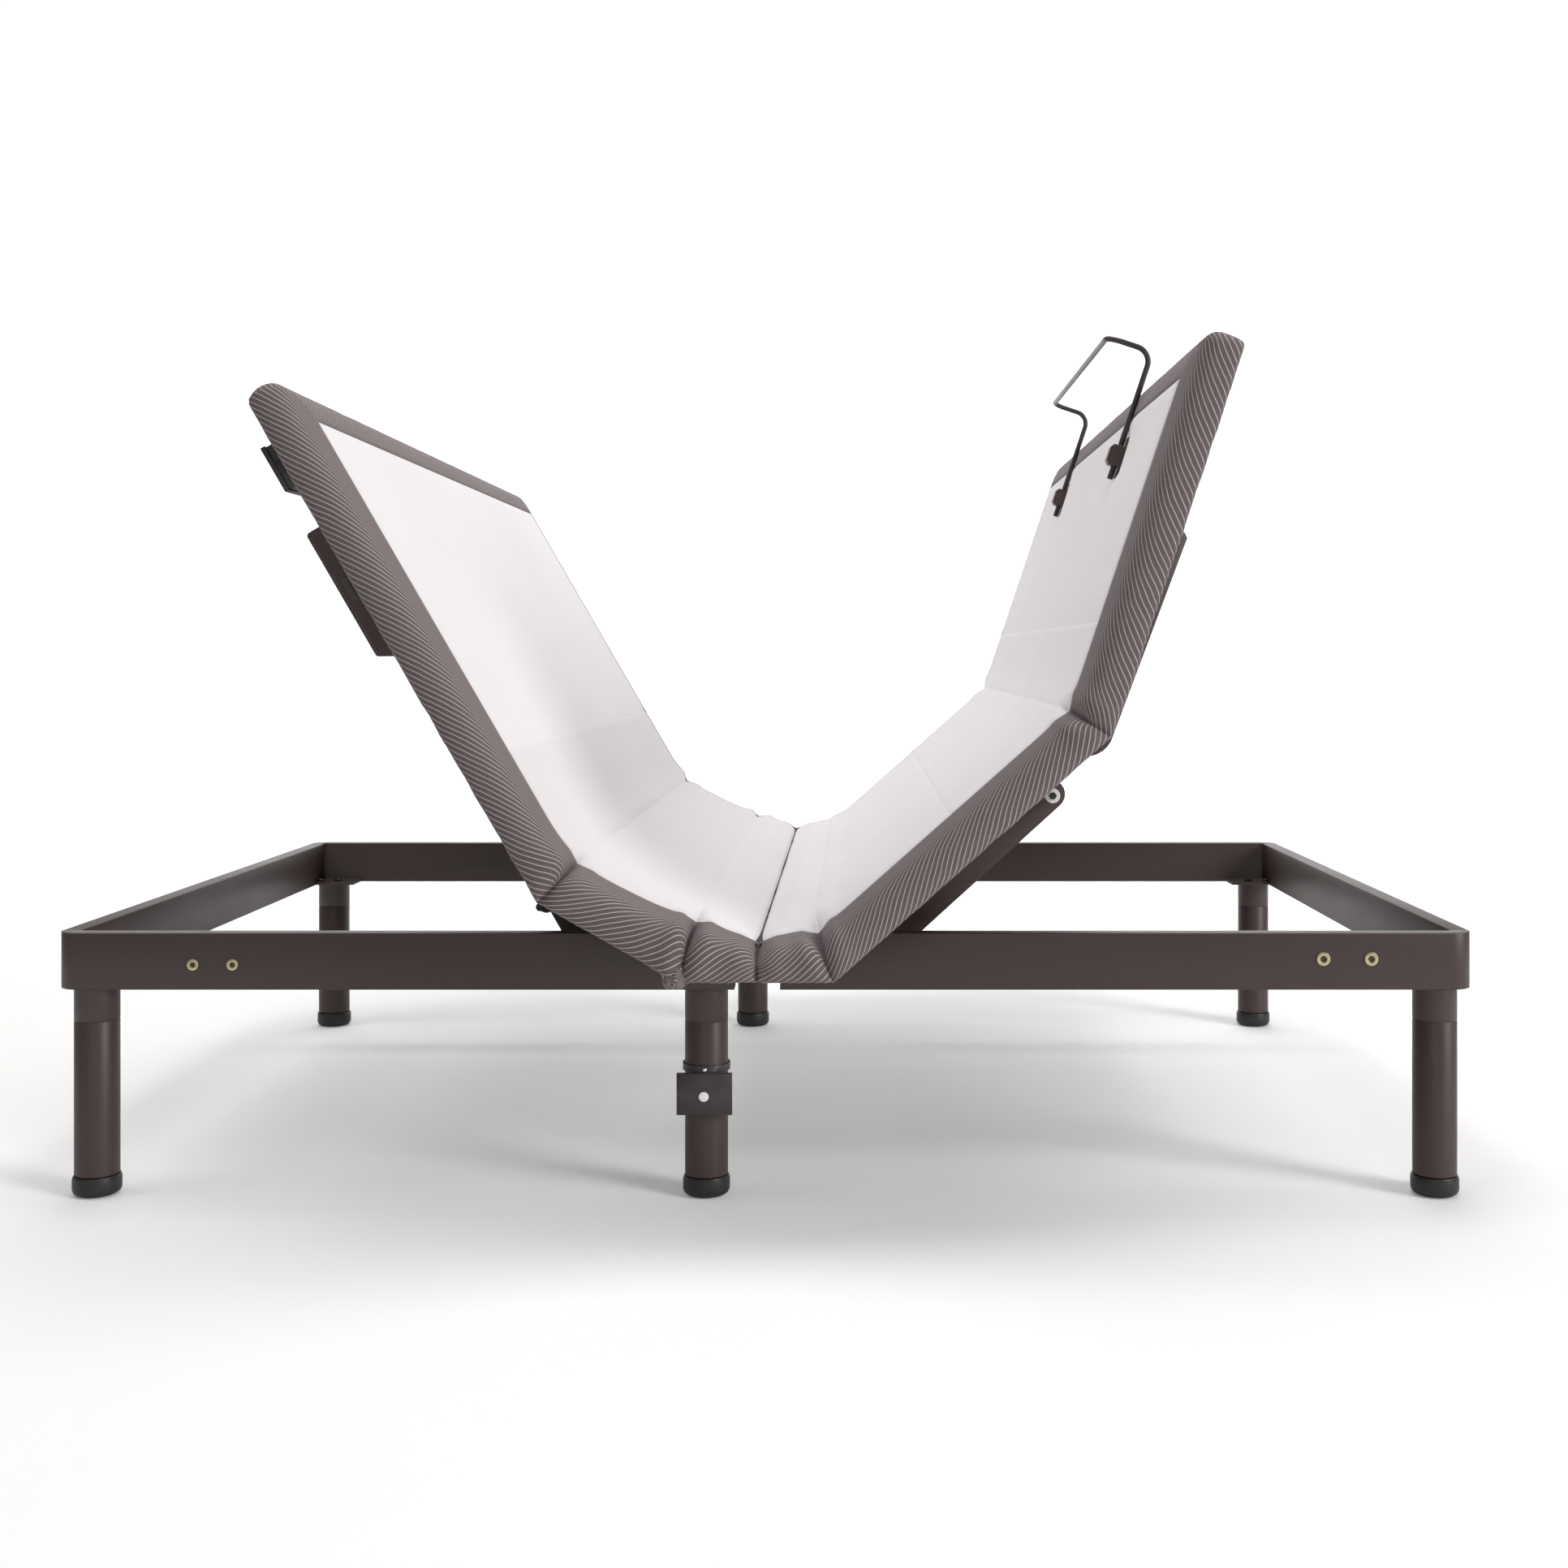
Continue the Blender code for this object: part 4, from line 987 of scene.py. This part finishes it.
def build_retainer():
    half = RETAINER_HALF_WIDTH
    bend = RETAINER_BEND
    lift = RETAINER_LIFT
    corner = RETAINER_CORNER
    rise = RETAINER_RISE
    path = [(0.352, -half, lift), (0.44, -half, lift)]
    for step in range(13):
        turn = math.radians(90.0 * step / 12.0)
        path.append((corner - bend + bend * math.sin(turn), -half, lift + bend - bend * math.cos(turn)))
    for step in range(13):
        turn = math.radians(90.0 * step / 12.0)
        path.append((corner, -half + bend - bend * math.cos(turn), rise - bend + bend * math.sin(turn)))
    path += [(along, -y, up) for along, y, up in reversed(path)]
    points = []
    for along, y, up in path:
        x, z = CALF_PANEL.plain(KNEE_FOLD_S + along, up)
        points.append(Vector((x, y, z)))
    item = wire_tube("retainer_wire", points, RETAINER_WIRE_RADIUS, MATERIALS["wire"])
    place_piece(item, "calf", "frame_paint", "retainer_bar")


def build_rollers():
    sleeve = ((0.0, 0.0), (0.0100, 0.0), (0.0100, 0.0282), (0.0094, 0.0290), (0.0, 0.0290))
    head = ((0.0, 0.0), (0.0052, 0.0), (0.0052, 0.0022), (0.0044, 0.0032), (0.0, 0.0034))
    rows = (("head", "head_lever", -0.4084, 0.6058), ("foot", "foot_lever", 0.3853, 0.5259))
    for name, body, x, z in rows:
        for side_name, side in (("near", -1.0), ("far", 1.0)):
            label = name + "_" + side_name
            item = turned("roller_" + label, (x, side * ROLLER_INNER_Y, z), (0, side, 0), sleeve,
                          MATERIALS["nylon"], 48)
            place_piece(item, body, None)
            item = turned("roller_bolt_" + label, (x, side * ROLLER_BOLT_Y, z), (0, side, 0), head,
                          MATERIALS["plastic"], 6)
            place_piece(item, body, None)
    knob = ((0.0, 0.0), (0.0040, 0.0), (0.0040, 0.0015), (0.0056, 0.0020), (0.0056, 0.0080), (0.0048, 0.0092),
            (0.0, 0.0094))
    for side_name, side in (("near", -1.0), ("far", 1.0)):
        item = turned("arm_stop_" + side_name, (-0.3105, side * 0.4690, 0.3725), (0, side, 0), knob,
                      MATERIALS["plastic"], 32)
        place_piece(item, "head_lever", "black_plastic")
        item = turned("arm_stop_seat_" + side_name, (-0.3030, side * 0.4500, 0.3765), (0, side, 0),
                      ((0.0, 0.0), (0.0130, 0.0), (0.0130, 0.0186), (0.0124, 0.0192), (0.0, 0.0192)),
                      MATERIALS["paint"], 32)
        place_piece(item, "head_lever", "frame_paint")


def build_pouch_details():
    """Stitch rows and a blank tag on the pouch, and the lid of the small box above it."""
    face = POUCH_FACE_Y
    low = BACK_FOLD_S - POUCH_FAR
    high = BACK_FOLD_S - POUCH_NEAR
    stitch = 0
    position = low + 0.0070
    rows = []
    while position < high - 0.0070:
        rows.append((position, position + 0.0026, -0.0272, -0.0265))
        position += 0.0046
    for edge in (low + 0.0048, high - 0.0055):
        height = -0.0240
        while height < -0.002:
            rows.append((edge, edge + 0.0007, height, height + 0.0026))
            height += 0.0046
    shape_items = []
    for s0, s1, z0, z1 in rows:
        stitch += 1
        item = panel_block("stitch_%02d" % stitch, BACK_PANEL, (s0, s1), (face - 0.0004, face + 0.0006),
                           (z0, z1), MATERIALS["thread"], 0.0)
        shape_items.append(item)
    joined = join_items("pouch_stitching", shape_items)
    place_piece(joined, "back", None)
    middle = BACK_FOLD_S - 0.4475
    tag = panel_block("pouch_tag", BACK_PANEL, (middle - 0.0165, middle + 0.0165),
                      (face - 0.0008, face + 0.0006), (-0.0208, -0.0135), MATERIALS["tag"], 0.0005)
    place_piece(tag, "back", None)
    lid = panel_block("box_lid", BACK_PANEL, (BACK_FOLD_S - 0.6545, BACK_FOLD_S - 0.5920), (-0.7018, -0.5885),
                      (-0.0272, -0.0205), MATERIALS["housing"], 0.0014)
    place_piece(lid, "back", "motor_housing")
    clip = panel_block("box_clip", BACK_PANEL, (BACK_FOLD_S - 0.6310, BACK_FOLD_S - 0.6150),
                       (-0.7032, -0.6990), (-0.0225, -0.0120), MATERIALS["plastic"], 0.0008)
    place_piece(clip, "back", "black_plastic")


def join_items(name, items):
    """One mesh from several, all in world coordinates."""
    shape = bmesh.new()
    for item in items:
        shape.from_mesh(item.data)
    mesh = bpy.data.meshes.new(name)
    shape.to_mesh(mesh)
    shape.free()
    mesh.materials.append(items[0].data.materials[0])
    for item in items:
        bpy.data.objects.remove(item, do_unlink=True)
    joined = bpy.data.objects.new(name, mesh)
    bpy.context.scene.collection.objects.link(joined)
    return joined


def build_gathers():
    """Bunched knot of border fabric hanging out of the bottom of the lumbar fold."""
    centre = (-0.0980, 0.7480, 0.3300)
    radii = (0.0175, 0.0140, 0.0180)
    for side_name, side in (("near", -1.0), ("far", 1.0)):
        cloth = ClothMesh()
        rows = []
        rings = 18
        steps = 36
        for ring in range(rings + 1):
            polar = math.pi * ring / rings
            row = []
            for step in range(steps):
                turn = 2.0 * math.pi * step / steps
                fold = 1.0 + 0.10 * math.sin(5.0 * turn + 3.0 * math.cos(polar)) * math.sin(polar)
                fold += 0.06 * math.sin(2.0 * turn + 5.0 * math.cos(polar))
                place = (centre[0] + radii[0] * fold * math.sin(polar) * math.cos(turn),
                         side * (centre[1] + radii[1] * fold * math.cos(polar)),
                         centre[2] + radii[2] * fold * math.sin(polar) * math.sin(turn))
                row.append((cloth.vertex(place), 0.030 * math.sin(polar) * math.cos(turn + 2.2 * polar),
                            0.030 * math.sin(polar) * math.sin(turn + 2.2 * polar)))
            rows.append(row)
        for lower, upper in zip(rows, rows[1:]):
            for step in range(steps):
                after = (step + 1) % steps
                four = (lower[step], lower[after], upper[after], upper[step])
                cloth.face([corner[0] for corner in four], [(corner[1], corner[2]) for corner in four], 0)
        item = cloth.finish("fold_gather_" + side_name, (MATERIALS["border"],))
        place_piece(item, "base", "border_fabric")


def build_light_details():
    screw = ((0.0, 0.0), (0.0026, 0.0), (0.0026, 0.0008), (0.0018, 0.0014), (0.0, 0.0014))
    item = turned("strap_screw", (-0.079, -0.5615, 0.1708), (0, -1, 0), screw, MATERIALS["steel"], 20)
    place_piece(item, "base", None)
    ring = ((0.0066, 0.0), (0.0082, 0.0), (0.0082, 0.0010), (0.0074, 0.0014), (0.0066, 0.0010))
    item = turned("lens_ring", (-0.079, -0.5738, 0.1390), (0, -1, 0), ring, MATERIALS["housing"], 40)
    place_piece(item, "base", None)


def build_stage():
    floor, nodes, links, shader = node_material("studio_floor", (0.92, 0.915, 0.91), 0.75)
    shader.inputs["Specular IOR Level"].default_value = 0.15
    path = nodes.new("ShaderNodeLightPath")
    glow = math_node(nodes, links, "MULTIPLY", path.outputs["Is Camera Ray"], 0.13)
    shader.inputs["Emission Color"].default_value = (1.0, 0.995, 0.99, 1.0)
    links.new(glow, shader.inputs["Emission Strength"])
    shape = bmesh.new()
    profile = [(-9.0, 0.0), (3.6, 0.0)]
    for step in range(1, 25):
        turn = math.radians(90.0 * step / 24.0)
        profile.append((3.6 + 2.4 * math.sin(turn), 2.4 - 2.4 * math.cos(turn)))
    profile.append((6.0, 9.0))
    rows = []
    for y, z in profile:
        rows.append([shape.verts.new((x, y, z - 0.0004)) for x in (-14.0, 14.0)])
    for first, second in zip(rows, rows[1:]):
        face = shape.faces.new((first[0], first[1], second[1], second[0]))
        face.smooth = True
    sweep = mesh_object("studio_sweep", shape, floor)


def area_light(name, place, target, size, power, colour=(1.0, 1.0, 1.0)):
    data = bpy.data.lights.new(name, "AREA")
    data.shape = "RECTANGLE"
    data.size = size[0]
    data.size_y = size[1]
    data.energy = power
    data.color = colour
    item = bpy.data.objects.new(name, data)
    bpy.context.scene.collection.objects.link(item)
    item.location = place
    item.rotation_mode = "QUATERNION"
    item.rotation_quaternion = (Vector(target) - Vector(place)).to_track_quat("-Z", "Y")
    return item


def build_lights():
    area_light("key", (6.5, -4.4, 3.3), (0.2, 0.0, 0.4), (2.4, 3.6), 400.0)
    area_light("top", (0.2, -0.3, 4.4), (0.0, 0.1, 0.0), (2.6, 2.2), 92.0)
    area_light("top_left", (-2.6, -0.7, 3.9), (0.4, 0.0, 0.8), (2.2, 2.2), 34.0)
    area_light("front", (-0.6, -5.4, 1.6), (0.0, 0.0, 0.5), (2.4, 1.6), 15.0)
    area_light("wall", (0.0, 3.4, 4.3), (0.0, 6.0, 1.4), (8.0, 1.6), 250.0)
    world = bpy.context.scene.world or bpy.data.worlds.new("studio")
    bpy.context.scene.world = world
    world.use_nodes = True
    nodes = world.node_tree.nodes
    links = world.node_tree.links
    background = nodes["Background"]
    background.inputs["Color"].default_value = (1.0, 0.985, 0.98, 1.0)
    path = nodes.new("ShaderNodeLightPath")
    extra = math_node(nodes, links, "MULTIPLY", path.outputs["Is Camera Ray"], 0.83)
    strength = math_node(nodes, links, "ADD", extra, 0.15)
    links.new(strength, background.inputs["Strength"])


def build_camera():
    data = bpy.data.cameras.new("camera")
    data.lens = 40.12
    data.sensor_width = 36.0
    data.shift_x = -0.0450
    data.shift_y = -0.0828
    data.clip_start = 0.05
    data.clip_end = 100.0
    item = bpy.data.objects.new("camera", data)
    bpy.context.scene.collection.objects.link(item)
    item.location = (0.118, -2.856, 0.717)
    item.rotation_euler = (math.radians(90.0), 0.0, 0.0)
    bpy.context.scene.camera = item


build_covers()
build_legs()
build_hard_pieces()
build_retainer()
build_rollers()
build_pouch_details()
build_gathers()
build_light_details()
build_stage()
build_lights()
build_camera()
bpy.context.scene.view_settings.view_transform = "Standard"
